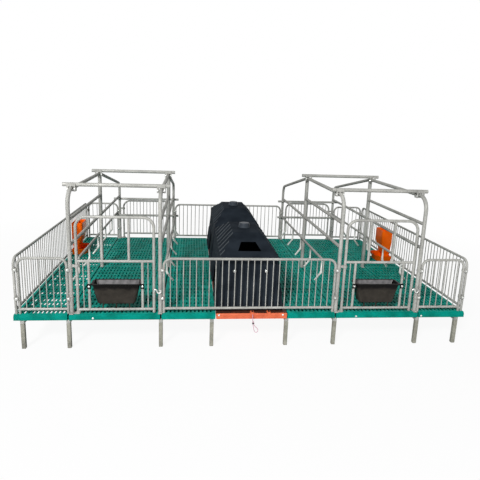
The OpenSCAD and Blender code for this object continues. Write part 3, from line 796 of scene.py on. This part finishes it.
@dataclass
class Studio:
    """Plain pale floor, white surroundings and soft lamps."""

    floor_size: float = 40.0
    floor_z: float = -0.0005
    floor_grey: float = 0.85
    surround: float = 0.16
    aim: Point = (0, 0, 0.5)
    lamps: tuple[tuple[str, Point, float, float], ...] = (
        ("key", (-4.4, -9.2, 7.2), 2.2, 1360.0),
        ("fill", (4.0, -7.5, 2.2), 3.0, 60.0),
        ("back", (0.5, 5.0, 4.5), 4.0, 20.0))
    shade: Span = (0.93, 1.0)
    shade_radius: Span = (2.2, 5.0)

    def build(self) -> None:
        """Make the world, the lamps and the floor."""
        self.light_world()
        for name, place, size, power in self.lamps:
            deselect_all()
            bpy.ops.object.light_add(type="AREA", location=place)
            lamp = bpy.context.active_object
            lamp.name, lamp.data.size, lamp.data.energy = name + "_lamp", size, power
            ahead = Vector(self.aim) - Vector(place)
            lamp.rotation_euler = ahead.to_track_quat("-Z", "Y").to_euler()
        self.lay_floor()

    def seen(self, tree: Tree) -> Socket:
        """A mask of the rays that see the background: from the camera, off gloss, through glass.

        Args:
            tree: Node tree of the floor or the world.

        Returns:
            1 for such rays and 0 for all others.
        """
        rays = add_node(tree, "ShaderNodeLightPath").outputs
        mask = rays["Is Camera Ray"]
        for kind in ("Is Glossy Ray", "Is Transmission Ray"):
            mask = add_node(tree, "ShaderNodeMath", {"operation": "MAXIMUM"},
                            {0: mask, 1: rays[kind]}).outputs[0]
        return mask

    def show(self, tree: Tree, output: str, share: Socket, plain: Node, white: Node) -> None:
        """Join two shaders and show them at a tree's output.

        Args:
            tree: Node tree of the floor or the world.
            output: Blender's name of the output node.
            share: Share of the white shader.
            plain: Shader that lights or takes light.
            white: Shader that shows white.
        """
        both = add_node(tree, "ShaderNodeMixShader",
                        links={0: share, 1: plain.outputs[0], 2: white.outputs[0]})
        add_node(tree, output, links={"Surface": both.outputs[0]})

    def light_world(self) -> None:
        """White surroundings that light the object less than they show."""
        world = bpy.data.worlds.new("studio")
        bpy.context.scene.world = world
        world.use_nodes = True
        tree = world.node_tree
        tree.nodes.clear()
        soft, white = (add_node(tree, "ShaderNodeBackground", {"Color": WHITE, "Strength": power})
                       for power in (self.surround, 1.0))
        self.show(tree, "ShaderNodeOutputWorld", self.seen(tree), soft, white)

    def lay_floor(self) -> None:
        """A pale floor that shows white further away and takes the object's shadow near it."""
        floor = plate_blank("floor", (self.floor_size, self.floor_size), (0, 0, self.floor_z))
        paint = bpy.data.materials.new("pale_studio_floor")
        paint.use_nodes = True
        tree = paint.node_tree
        tree.nodes.clear()
        matt = add_node(tree, "ShaderNodeBsdfDiffuse", {"Color": (*[self.floor_grey] * 3, 1)})
        glow = add_node(tree, "ShaderNodeEmission", {"Color": WHITE, "Strength": 1.0})
        place = add_node(tree, "ShaderNodeTexCoord").outputs["Object"]
        away = add_node(tree, "ShaderNodeVectorMath", {"operation": "LENGTH"}, {0: place})
        ends = dict(zip(("From Min", "From Max", "To Min", "To Max"),
                        (*self.shade_radius, *self.shade)))
        share = add_node(tree, "ShaderNodeMapRange", ends, {"Value": away.outputs["Value"]})
        part = add_node(tree, "ShaderNodeMath", {"operation": "MULTIPLY"},
                        {0: self.seen(tree), 1: share.outputs[0]})
        self.show(tree, "ShaderNodeOutputMaterial", part.outputs[0], matt, glow)
        floor.data.materials.append(paint)


@dataclass
class SlatTile:
    """One floor tile: a rim, a slotted web and two ribs below it."""

    width: float
    nose: Nose
    web: float
    length: float = 0.5985
    height: float = 0.045
    border: float = 0.020
    slot_w: float = 0.015
    slot_l: float = 0.052
    slot_pitch: float = 0.032
    rows: int = 7
    nose_r: float = 0.013
    rib_w: float = 0.006
    rib_lift: float = 0.004
    rib_rows: Span = (-1.5, 1.5)

    def build(self) -> Piece:
        """Model the tile with the middle of its top at the origin.

        Returns:
            The tile.
        """
        parts = [self.rim(), self.slotted_web(), *(self.rib(row) for row in self.rib_rows)]
        return join(f"tile_{self.nose.name.lower()}", parts)

    def inner(self) -> Span:
        """Width and length inside the rim."""
        return self.width - 2 * self.border, self.length - 2 * self.border

    def rim(self) -> Piece:
        """Model the frame round the tile, rounded where it shows at the pen's edge.

        Returns:
            The frame.
        """
        rim = plate_blank("rim", (self.width, self.length))
        edit(rim)
        bpy.ops.mesh.inset(thickness=self.border, use_boundary=True)
        bpy.ops.mesh.delete(type="FACE")
        leave_edit()
        finish_with(rim, "SOLIDIFY", thickness=self.height, offset=-1.0)
        if self.nose is not Nose.NONE:
            edit(rim)
            round_edges(rim, self.on_nose, self.nose_r, 4)
            leave_edit()
        smooth(35)
        return rim

    def on_nose(self, one: Vector, other: Vector) -> bool:
        """Whether an edge is the top one of the end that shows."""
        edge_y = self.nose.value * self.length / 2
        return all(abs(p.z) < SAME and abs(p.y - edge_y) < SAME for p in (one, other))

    def slotted_web(self) -> Piece:
        """Model the walked top: one slot, cut in a small plate that is repeated both ways.

        Returns:
            The web, with slots that run front to back.
        """
        inner_w, inner_l = self.inner()
        across = round(inner_w / self.slot_pitch)
        step_x, step_y = inner_w / across, inner_l / self.rows
        first = ((step_x - inner_w) / 2, (step_y - inner_l) / 2, 0)
        web = plate_blank("web", (step_x, step_y), first)
        bar = 0.2 * step_x
        edit(web)
        bpy.ops.mesh.inset(thickness=bar, use_boundary=True)
        resize(self.slot_w / (step_x - 2 * bar), self.slot_l / (step_y - 2 * bar), first)
        bpy.ops.mesh.delete(type="FACE")
        leave_edit()
        for count, step in ((across, (step_x, 0, 0)), (self.rows, (0, step_y, 0))):
            finish_with(web, "ARRAY", count=count, use_relative_offset=False,
                        use_constant_offset=True, constant_offset_displace=step,
                        use_merge_vertices=True, merge_threshold=SAME)
        finish_with(web, "SOLIDIFY", thickness=self.web, offset=-1.0)
        return web

    def rib(self, row: float) -> Piece:
        """Model a rib under the web, between two rows of slots.

        Args:
            row: Its place from the middle, in rows.

        Returns:
            The rib.
        """
        inner_w, inner_l = self.inner()
        low, high = self.rib_lift - self.height, -self.web
        rib = box_blank("rib", (inner_w, self.rib_w, high - low),
                        (0, row * inner_l / self.rows, (low + high) / 2))
        return soften(rib, 0.001, 1)


@dataclass
class SidePiece:
    """A piece that each half of the pen has."""

    side: Side
    shop: PaintShop


@dataclass
class SlattedFloor(SidePiece):
    """The three columns of tiles on one side of the heating plate."""

    joints: Span = (0.700, 1.400)
    outer_edge: float = 1.7998
    half_gap: float = 0.006
    row_pitch: float = 0.600
    rows: int = 4
    open_web: float = 0.007
    deep_web: float = 0.040

    def build(self) -> None:
        """Lay the tiles and hand them over in place of the plain slab."""
        laid = []
        edges = (PLATE_EDGE[self.side], *self.joints, self.outer_edge + self.half_gap)
        last = self.rows - 1
        ends = ((Nose.FRONT, (0,)), (Nose.NONE, range(1, last)), (Nose.BACK, (last,)))
        for start, end in zip(edges, edges[1:]):
            inner, outer = start + self.half_gap, end - self.half_gap
            # only the left outer column lets the light below it through
            see_through = end > self.outer_edge and self.side is Side.LEFT
            web = self.open_web if see_through else self.deep_web
            x = self.side.value * (inner + outer) / 2
            for nose, rows in ends:
                places = [at(x, (row - last / 2) * self.row_pitch, PEN.floor) for row in rows]
                laid += copies(SlatTile(outer - inner, nose, web).build(), places)
        name = self.side.word
        floor = join(f"{name}_slat_tiles", laid)
        self.shop.hand_over(floor, SLAT_PLASTIC, "pen", "slat_plastic", f"{name}_slats")
        # the tiles' top faces get the paler plastic
        self.shop.patch(floor, PALE_SLAT_TOP, faces_up)


@dataclass
class RearBars(SidePiece):
    """Thin bars between those of a rear gate, which stand closer than its solid has them."""

    bays: int = 7
    bar_r: float = 0.004
    low: float = 0.340
    high: float = 0.758
    corner: float = 0.080

    def build(self) -> None:
        """Model one bar in the middle of each bay and hand them over."""
        name, step = self.side.word, 2 * PEN.half_gate / self.bays
        bars = []
        for bay in range(self.bays):
            x = (bay + 0.5) * step - PEN.half_gate
            # bars near the gate's round top corners are shorter
            into = max(self.corner - (PEN.half_gate - abs(x)), 0.0)
            top = self.high - self.corner + math.sqrt(self.corner ** 2 - into ** 2)
            place = (self.side.value * PEN.crate_x + x, PEN.rear_y, (top + self.low) / 2)
            bars.append(round_blank("bar", self.bar_r, top - self.low, place, 10))
            smooth()
        self.shop.hand_over(join(f"{name}_rear_gate_bars", bars), GALVANISED,
                            f"{name}_rear_gate", "galvanised_steel")


@dataclass
class Trough(SidePiece):
    """A feeding gate's trough: a tapered tub with round corners, a rolled rim, ears and pegs."""

    width: float = 0.376
    depth: float = 0.130
    base_width: float = 0.286
    base_depth: float = 0.100
    height: float = 0.166
    bottom: float = 0.355
    middle_y: float = -1.129
    rim_h: float = 0.012
    rim_w: float = 0.009
    wall: float = 0.006
    corner: float = 0.026
    foot_round: float = 0.016
    ear_end: float = 0.214
    ear_lap: float = 0.004
    ear_t: float = 0.004
    ear_h: float = 0.040
    ear_y: float = PEN.gate_y - 0.0123
    peg_r: float = 0.005
    peg_gap: float = 0.100
    peg_foot: float = 0.3223
    peg_wall: float = 0.0015
    peg_dish: float = 0.002

    def build(self) -> None:
        """Model the tub, its pegs and ears and hand them over."""
        name = self.side.word
        pegs = [self.peg(place * self.peg_gap) for place in (-1, 0, 1)]
        piece = join(f"{name}_trough_tub", [self.tub(), *pegs, self.ear(-1), self.ear(1)])
        piece.data.transform(at(self.side.value * PEN.crate_x, 0, 0))
        self.shop.hand_over(piece, TROUGH_PLASTIC, f"{name}_front_gate", "trough",
                            f"{name}_trough")
        # the inside of the back wall gets the grey
        self.shop.patch(piece, PALE_INNER_WALL, self.inner_back)

    def inner_back(self, middle: Vector, normal: Vector) -> bool:
        """Whether a face is on the inside of the tub's back wall."""
        below_rim = middle.z < self.bottom + self.height - self.rim_h
        return normal.y < -0.8 and middle.y > self.middle_y and below_rim

    def on_foot(self, one: Vector, other: Vector) -> bool:
        """Whether an edge is one of the tub's bottom edges."""
        return max(one.z, other.z) < self.bottom + 1e-4

    def tub(self) -> Piece:
        """Model the tub with its rim, hollowed from the top.

        Returns:
            The tub.
        """
        body_w, body_d = self.width - 2 * self.rim_w, self.depth - 2 * self.rim_w
        body_h = self.height - self.rim_h
        y, rim_z = self.middle_y, self.bottom + body_h
        tub = box_blank("tub", (body_w, body_d, body_h), (0, y, self.bottom + body_h / 2))
        edit(tub)
        pick(tub, Element.FACE, faces_down)
        resize(self.base_width / body_w, self.base_depth / body_d, (0, y, self.bottom))
        round_edges(tub, upright, self.corner, 5)
        round_edges(tub, self.on_foot, self.foot_round, 4)
        pick(tub, Element.FACE, faces_up)
        bpy.ops.mesh.extrude_region_move()
        resize(self.width / body_w, self.depth / body_d, (0, y, rim_z))
        pull(self.rim_h)
        bpy.ops.mesh.inset(thickness=self.rim_w + self.wall)
        pull(self.wall - self.height)
        floor_w, floor_d = self.base_width - 2 * self.wall, self.base_depth - 2 * self.wall
        mouth = 2 * (self.rim_w + self.wall)
        resize(floor_w / (self.width - mouth), floor_d / (self.depth - mouth),
               (0, y, self.bottom + self.wall))
        leave_edit()
        return soften(tub, 0.003, 2, 30)

    def ear(self, end: int) -> Piece:
        """Model the bolted ear at one end of the rim, in front of the trough tube.

        Args:
            end: -1 for the left end and 1 for the right one.

        Returns:
            The ear.
        """
        inner, z = self.width / 2 - self.ear_lap, self.bottom + self.height - self.ear_h / 2
        ear = box_blank("ear", (self.ear_end - inner, self.ear_t, self.ear_h),
                        (end * (inner + self.ear_end) / 2, self.ear_y, z))
        return soften(ear, 0.0015)

    def peg(self, x: float) -> Piece:
        """Model one peg under the tub, down to the gate's bottom rail, dished at its foot.

        Args:
            x: Its place from the tub's middle.

        Returns:
            The peg.
        """
        low, high = self.peg_foot, self.bottom + self.wall / 2
        peg = round_blank("peg", self.peg_r, high - low, (x, PEN.gate_y, (low + high) / 2), 12)
        edit(peg)
        pick(peg, Element.FACE, faces_down)
        bpy.ops.mesh.inset(thickness=self.peg_wall)
        pull(self.peg_dish)
        leave_edit()
        return peg


@dataclass
class CreepFeeder(SidePiece):
    """A creep feeder on the side fence: a tapered hopper over an open pan."""

    back_x: float = 1.7745
    top: Span = (0.112, 0.206)
    throat: Span = (0.070, 0.140)
    pan: Span = (0.170, 0.264)
    pan_h: float = 0.066
    pan_r: float = 0.085
    pan_taper: float = 0.88
    throat_z: float = 0.078
    shoulder_z: float = 0.220
    height: float = 0.352
    hopper_r: float = 0.022
    hollow: float = 0.9
    wall: float = 0.004
    cheek_back: float = 0.012
    neck_at: float = 0.6

    def build(self) -> None:
        """Model the feeder with its back at X 0 and hand it over in place of the solid."""
        name, (deep, wide) = self.side.word, self.throat
        cheeks = [self.stay("cheek", (deep - self.cheek_back, self.wall),
                            (-deep / 2, end * (wide - self.wall) / 2)) for end in (-1, 1)]
        neck = self.stay("neck", (self.wall, wide - self.wall), (-self.neck_at * deep, 0))
        piece = join(f"{name}_feeder_moulding", [self.hopper(), self.bowl(), *cheeks, neck])
        turn = 0 if self.side is Side.RIGHT else 180
        piece.data.transform(at(self.side.value * self.back_x, FEEDER_Y[self.side], PEN.floor,
                                turn))
        self.shop.hand_over(piece, FEEDER_PLASTIC, "pen", "feeder_plastic", f"{name}_feeder")

    def on_front(self, one: Vector, other: Vector) -> bool:
        """Whether an edge runs up the side that is away from the fence."""
        return max(one.x, other.x) < -0.03 and upright(one, other)

    def hopper(self) -> Piece:
        """Model the hopper: straight above, tapered below, round in front and open on top.

        Returns:
            The hopper.
        """
        depth, width = self.top
        straight = self.height - self.shoulder_z
        hopper = box_blank("hopper", (depth, width, straight),
                           (-depth / 2, 0, (self.height + self.shoulder_z) / 2))
        edit(hopper)
        pick(hopper, Element.FACE, faces_down)
        pull(self.throat_z - self.shoulder_z)
        resize(self.throat[0] / depth, self.throat[1] / width, (0, 0, self.throat_z))
        round_edges(hopper, self.on_front, self.hopper_r, 4)
        pick(hopper, Element.FACE, faces_up)
        bpy.ops.mesh.inset(thickness=self.wall)
        pull(-self.hollow * straight)
        leave_edit()
        return soften(hopper, 0.004, 3)

    def bowl(self) -> Piece:
        """Model the pan: flat against the fence, round in front and open on top.

        Returns:
            The pan.
        """
        depth, width = self.pan
        bowl = box_blank("bowl", (depth, width, self.pan_h), (-depth / 2, 0, self.pan_h / 2))
        edit(bowl)
        round_edges(bowl, self.on_front, self.pan_r, 8)
        pick(bowl, Element.FACE, faces_down)
        resize(self.pan_taper, self.pan_taper, (0, 0, 0))
        pick(bowl, Element.FACE, faces_up)
        bpy.ops.mesh.inset(thickness=self.wall)
        pull(self.wall - self.pan_h)
        resize(self.pan_taper, self.pan_taper, (0, 0, self.wall))
        leave_edit()
        return soften(bowl, 0.0018)

    def stay(self, name: str, size: Span, middle: Span) -> Piece:
        """Model a wall that carries the hopper on the pan's floor.

        Args:
            name: Name of the wall.
            size: Lengths along X and Y.
            middle: Its place along X and Y.

        Returns:
            The wall.
        """
        low, high = self.wall / 2, self.throat_z + self.wall
        stay = box_blank(name, (*size, high - low), (*middle, (low + high) / 2))
        return soften(stay, 0.001)


@dataclass
class Moulding:
    """A piece that stands for a CAD solid, with round edges and on some a second finish, painted
    light on fingers and ribs.
    """

    node: str
    name: str
    finish: Finish
    slot: str
    shop: PaintShop
    edge: float = 0.003
    rubbed: Finish | None = None

    def build(self, frame: dict) -> None:
        """Copy the solid's mesh, merge it, reshape it, round its edges and hand it over.
        """
        piece = bpy.data.objects.new(self.name, frame["nodes"][self.node].data.copy())
        bpy.context.collection.objects.link(piece)
        edit(piece)
        bpy.ops.mesh.remove_doubles(threshold=SAME)
        bpy.ops.mesh.dissolve_limited(angle_limit=math.radians(1.0))
        self.reshape(piece)
        leave_edit()
        if self.edge > 0:
            soften(piece, self.edge)
        else:
            smooth(40)
        self.shop.hand_over(piece, self.finish, "pen", self.slot, self.node)
        if self.rubbed is not None:
            self.shop.patch(piece, self.rubbed, self.is_rubbed)

    def reshape(self, piece: Piece) -> None:
        """Change the merged copy in edit mode; each kind of piece has its own way."""

    def is_rubbed(self, middle: Vector, normal: Vector) -> bool:
        """Whether a face has the second finish; on most pieces none has."""
        return False


@dataclass
class StandPiece(Moulding):
    """Legs or beams, which meet higher so that the beams hide behind the tiles' front edge."""

    meet_z: float = 0.175
    lift: float = 0.030

    def reshape(self, piece: Piece) -> None:
        """Lift the corners where legs and beams meet."""
        move_corners(piece, lambda spot: abs(spot.z - self.meet_z) < 1e-4, (0, 0, self.lift))


@dataclass
class FingerRail(Moulding):
    """A low rail whose fingers are drawn as thick as they show and painted paler as painted light.
    """

    edge: float = 0.0
    rubbed: Finish | None = LIT_FINGER_ZINC
    rail_x: float = 0.0
    rail_z: float = 0.610
    clear_r: float = 0.013
    extra: float = 0.003

    def reshape(self, piece: Piece) -> None:
        """Fatten the fingers, which are all that stands clear of the rail."""
        pick(piece, Element.CORNER, self.on_finger)
        bpy.ops.transform.shrink_fatten(value=self.extra)

    def on_finger(self, spot: Vector) -> bool:
        """Whether a place is clear of the rail."""
        return math.hypot(spot.x - self.rail_x, spot.z - self.rail_z) > self.clear_r

    def is_rubbed(self, middle: Vector, normal: Vector) -> bool:
        """Whether a face is on a finger."""
        return self.on_finger(middle)


@dataclass
class HousePiece(Moulding):
    """Walls or lid of a house, whose ribs are drawn broader than their solid's and painted paler as
    a painted highlight.
    """

    rubbed: Finish | None = RIB_HIGHLIGHT_HOUSE
    middle_y: float = 0.0
    pitch: float = 0.108
    half_rib: float = 0.008
    widen: float = 0.010

    def off_rib(self, y: float) -> float:
        """How far a place is from the middle line of the nearest rib, with its sign."""
        along = y - self.middle_y
        return along - self.pitch * round(along / self.pitch)

    def reshape(self, piece: Piece) -> None:
        """Move the two sides of every rib on the long walls apart.

        Args:
            piece: The merged copy in edit mode.
        """
        for sign in (-1, 1):
            edge = sign * self.half_rib
            move_corners(piece, lambda spot: abs(self.off_rib(spot.y) - edge) < 2e-4,
                         (0, sign * self.widen, 0))

    def is_rubbed(self, middle: Vector, normal: Vector) -> bool:
        """Whether a face is the outer face of a rib on a long wall."""
        outside = normal.x * math.copysign(1, middle.x) > 0.3
        return outside and abs(self.off_rib(middle.y)) < self.half_rib


@dataclass
class LampCap(Moulding):
    """A cap over a lamp's hole, lower than its solid and tapered as a mould needs."""

    taper: float = 0.86
    sink: float = 0.010

    def reshape(self, piece: Piece) -> None:
        """Narrow and lower the cap's top.

        Args:
            piece: The merged copy in edit mode.
        """
        heights = [corner.co.z for corner in bmesh.from_edit_mesh(piece.data).verts]
        half = (min(heights) + max(heights)) / 2
        pick(piece, Element.CORNER, lambda spot: spot.z > half)
        bpy.ops.transform.resize(value=(self.taper, self.taper, 1.0))
        bpy.ops.transform.translate(value=(0, 0, -self.sink))


@dataclass
class HeatPlate(Moulding):
    """The heating plate, narrower on its left than its solid and dark brown on its top."""

    rubbed: Finish | None = DARK_PLATE_TOP
    left_of: float = -0.280
    trim: float = 0.033

    def reshape(self, piece: Piece) -> None:
        """Move the left edge in."""
        move_corners(piece, lambda spot: spot.x < self.left_of, (self.trim, 0, 0))

    def is_rubbed(self, middle: Vector, normal: Vector) -> bool:
        """Whether a face is on the top."""
        return faces_up(middle, normal)


@dataclass
class Fasteners:
    """Bolts, cross clamps, panel clips and gate hooks."""

    shop: PaintShop
    bolt_r: float = 0.008
    head_h: float = 0.004
    crown_h: float = 0.0015
    fascia_bolts: tuple[Span, ...] = (
        (-1.214, 0.250), (0.871, 0.250), (1.425, 0.250), (-0.246, 0.268), (0.265, 0.268))
    knob_x: float = 0.126
    knob_z: float = 0.610
    knob_walls: tuple[Span, Span] = ((-1.135, 90), (1.055, -90))
    foot_step: float = 0.023
    foot_plate_h: float = 0.005
    clip_x: Point = (0.6875, 1.3925, 1.7715)
    clip_z: Span = (0.404, 0.632)
    clip_size: Point = (0.030, 0.044, 0.026)
    strap_t: float = 0.005
    strap_leg: float = 0.014
    strap_arm: float = PEN.post_r + 0.018
    strap_off: float = PEN.post_r + 0.0005
    strap_foot: float = PEN.top_tube_z - PEN.post_r - 0.0066
    strap_crown: float = PEN.top_tube_z + PEN.post_r + 0.002
    strap_top: float = PEN.tie_z + 0.010
    clamp_plate_d: float = 0.030
    clamp_plate_t: float = 0.004
    clamp_plate_z: float = PEN.top_tube_z - PEN.post_r - 0.0026
    clamp_bolt_z: float = PEN.top_tube_z - 0.004
    trough_bolt_x: float = 0.2
    trough_bolt_y: float = PEN.gate_y - 0.0143
    trough_bolt_z: float = 0.501
    hook_y: float = PEN.gate_y - 0.0205
    hook_z: float = 0.462
    hook_r: float = 0.0055
    hook_steps: tuple[Span, ...] = (
        (0.006, 0.002), (0.003, 0.012), (0.010, 0.019), (0.021, 0.016), (0.024, 0.004),
        (0.027, -0.009), (0.038, -0.015), (0.050, -0.012), (0.056, -0.002), (0.053, 0.011),
        (0.042, 0.012))

    def build(self) -> None:
        """Model all fasteners and hand them over."""
        places = [*self.fascia(), *self.post_feet(), *self.clip_faces(), *self.strap_feet(),
                  *self.knobs()]
        bolts = join("bolts", copies(self.bolt(), places))
        self.shop.hand_over(bolts, BRIGHT_ZINC, "pen", "galvanised_steel")
        clamps = join("clamps_and_clips", [*self.tie_clamps(), *self.clip_blocks()])
        self.shop.hand_over(clamps, GALVANISED, "pen", "galvanised_steel")
        for side in Side:
            parts = [self.gate_hook(side), *copies(self.bolt(), self.trough_ears(side))]
            self.shop.hand_over(join(f"{side.word}_gate_hook", parts), BRIGHT_ZINC,
                                f"{side.word}_front_gate", "galvanised_steel")

    def bolt(self) -> Piece:
        """Model a round-headed bolt at the origin with its head towards +Z.

        Returns:
            The bolt.
        """
        bolt = round_blank("bolt", self.bolt_r, self.head_h, (0, 0, self.head_h / 2), 12)
        edit(bolt)
        pick(bolt, Element.FACE, faces_up)
        bpy.ops.mesh.inset(thickness=self.bolt_r / 4)
        bpy.ops.transform.translate(value=(0, 0, self.crown_h))
        leave_edit()
        smooth()
        return bolt

    def fascia(self) -> list[Matrix]:
        """Places of the bolts in the front edges of the tiles and of the heating plate."""
        return [at(x, PEN.front, z, 90, "X") for x, z in self.fascia_bolts]

    def post_feet(self) -> list[Matrix]:
        """Places of two small bolts in each post's foot plate."""
        return [at(x, y + end * self.foot_step, PEN.floor + self.foot_plate_h, scale=0.7)
                for x in PEN.post_x() for y in (PEN.gate_y, PEN.mid_post_y, PEN.rear_y)
                for end in (-1, 1)]

    def clip_spots(self) -> list[Point]:
        """Places of the clips that hold the fence panels to the posts and to each other."""
        return [(sign * x, y, z) for sign in (-1, 1) for x in self.clip_x
                for y in (PEN.gate_y, PEN.rear_y) for z in self.clip_z]

    def clip_faces(self) -> list[Matrix]:
        """Places of the bolt heads in front of and behind each panel clip."""
        half = self.clip_size[1] / 2
        return [at(x, y + face * half, z, -90 * face, "X")
                for x, y, z in self.clip_spots() for face in (-1, 1)]

    def strap_feet(self) -> list[Matrix]:
        """Places of a bolt head at the foot of each leg of the straps in front of the ties."""
        leg_x, face = self.strap_arm - self.strap_leg / 2, self.strap_off + self.strap_t
        return [at(x + end * leg_x, y - face, self.clamp_bolt_z, 90, "X", 0.8)
                for x in PEN.post_x() for y in PEN.tie_y for end in (-1, 1)]

    def knobs(self) -> list[Matrix]:
        """Places of the screw heads in the knobs on the houses' front and back walls."""
        return [at(end * self.knob_x, y, self.knob_z, turn, "X", 1.4)
                for end in (-1, 1) for y, turn in self.knob_walls]

    def trough_ears(self, side: Side) -> list[Matrix]:
        """Places of the bolts that hold a trough's ears to the trough tubes."""
        return [at(side.value * PEN.crate_x + end * self.trough_bolt_x, self.trough_bolt_y,
                   self.trough_bolt_z, 90, "X") for end in (-1, 1)]

    def clip_blocks(self) -> list[Piece]:
        """The blocks of the panel clips."""
        block = soften(box_blank("clip_block", self.clip_size), 0.003)
        return copies(block, [at(*spot) for spot in self.clip_spots()])

    def tie_clamps(self) -> list[Piece]:
        """Model straps at each tie, astride the top tube, with a plate under the tube.

        Returns:
            The straps and then the plates.
        """
        arm, low, crown, high = self.strap_arm, self.strap_foot, self.strap_crown, self.strap_top
        y = -self.strap_off - self.strap_t / 2
        strap = box_blank("clamp_strap", (2 * arm, self.strap_t, high - crown),
                          (0, y, (high + crown) / 2))
        edit(strap)
        for end in (-1, 1):
            bpy.ops.mesh.primitive_cube_add(
                size=1.0, location=(end * (arm - self.strap_leg / 2), y, (low + crown) / 2),
                scale=(self.strap_leg, self.strap_t, crown - low))
        leave_edit()
        soften(strap, 0.0015)
        plate = box_blank("clamp_plate", (2 * arm, self.clamp_plate_d, self.clamp_plate_t),
                          (0, 0, self.clamp_plate_z))
        soften(plate, 0.0015)
        spots = [at(x, tie_y, 0) for x in PEN.post_x() for tie_y in PEN.tie_y]
        # behind the middle ties a post is in the way, so only the front ones have two straps
        behind = [at(x, PEN.tie_y[0], 0, 180) for x in PEN.post_x()]
        return copies(strap, spots + behind) + copies(plate, spots)

    def gate_hook(self, side: Side) -> Piece:
        """Bend the hook that holds a feeding gate shut, in front of its free stile and the post.

        Args:
            side: The half of the pen.

        Returns:
            The hook as a mesh.
        """
        stile = side.value * PEN.crate_x + PEN.half_gate
        points = [(stile + x, self.hook_y, self.hook_z + z) for x, z in self.hook_steps]
        activate(rod("hook", points, self.hook_r, Bend.SMOOTH, 2))
        bpy.ops.object.convert(target="MESH")
        smooth()
        return bpy.context.active_object


def mouldings(shop: PaintShop) -> list[Moulding]:
    """The pieces that are reshaped from their solids.

    Args:
        shop: The paint shop that dresses them.

    Returns:
        The pieces in the order that they are built in.
    """
    made: list[Moulding] = []
    for end, y in HOUSE_Y.items():
        made += [HousePiece(f"{end}_{kind}", f"{end}_{kind}_moulding", HOUSE_PLASTIC,
                            "house_plastic", shop, middle_y=y) for kind in ("house", "house_lid")]
        # the caps' black is painted lighter: a painted highlight
        made.append(LampCap(f"{end}_lamp_cap", f"{end}_lamp_cap_moulding", HIGHLIGHTED_CAP_PLASTIC,
                            "house_plastic", shop))
    made.append(HeatPlate("heat_plate", "heating_plate_casting", HEAT_PLATE, "heat_plate", shop))
    # the legs' zinc is painted darker: painted shade under the platform
    made.append(StandPiece("legs", "square_legs", SHADED_LEG_ZINC, "galvanised_steel", shop))
    made.append(StandPiece("beams", "floor_beams", GALVANISED, "galvanised_steel", shop))
    made += [FingerRail(f"{side.word}_{place}_finger_rail", f"{side.word}_{place}_fingers",
                        GALVANISED, "galvanised_steel", shop, rail_x=side.value * x)
             for side in Side for place, x in FINGER_RAIL_X.items()]
    return made


def main() -> None:
    """Build the scene round the frame, piece by piece."""
    logging.basicConfig(level=logging.INFO, format="%(name)s: %(message)s")
    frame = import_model()
    bpy.context.scene.view_settings.view_transform = "Standard"
    shop = PaintShop()
    PhotoCamera().build()
    shop.coat_frame(frame)
    Lead(shop).build(frame)
    Studio().build()
    for side in Side:
        for kind in (SlattedFloor, Trough, RearBars, CreepFeeder):
            kind(side, shop).build()
    for moulding in mouldings(shop):
        moulding.build(frame)
    Fasteners(shop).build()
    deselect_all()


if __name__ == "__main__":
    main()
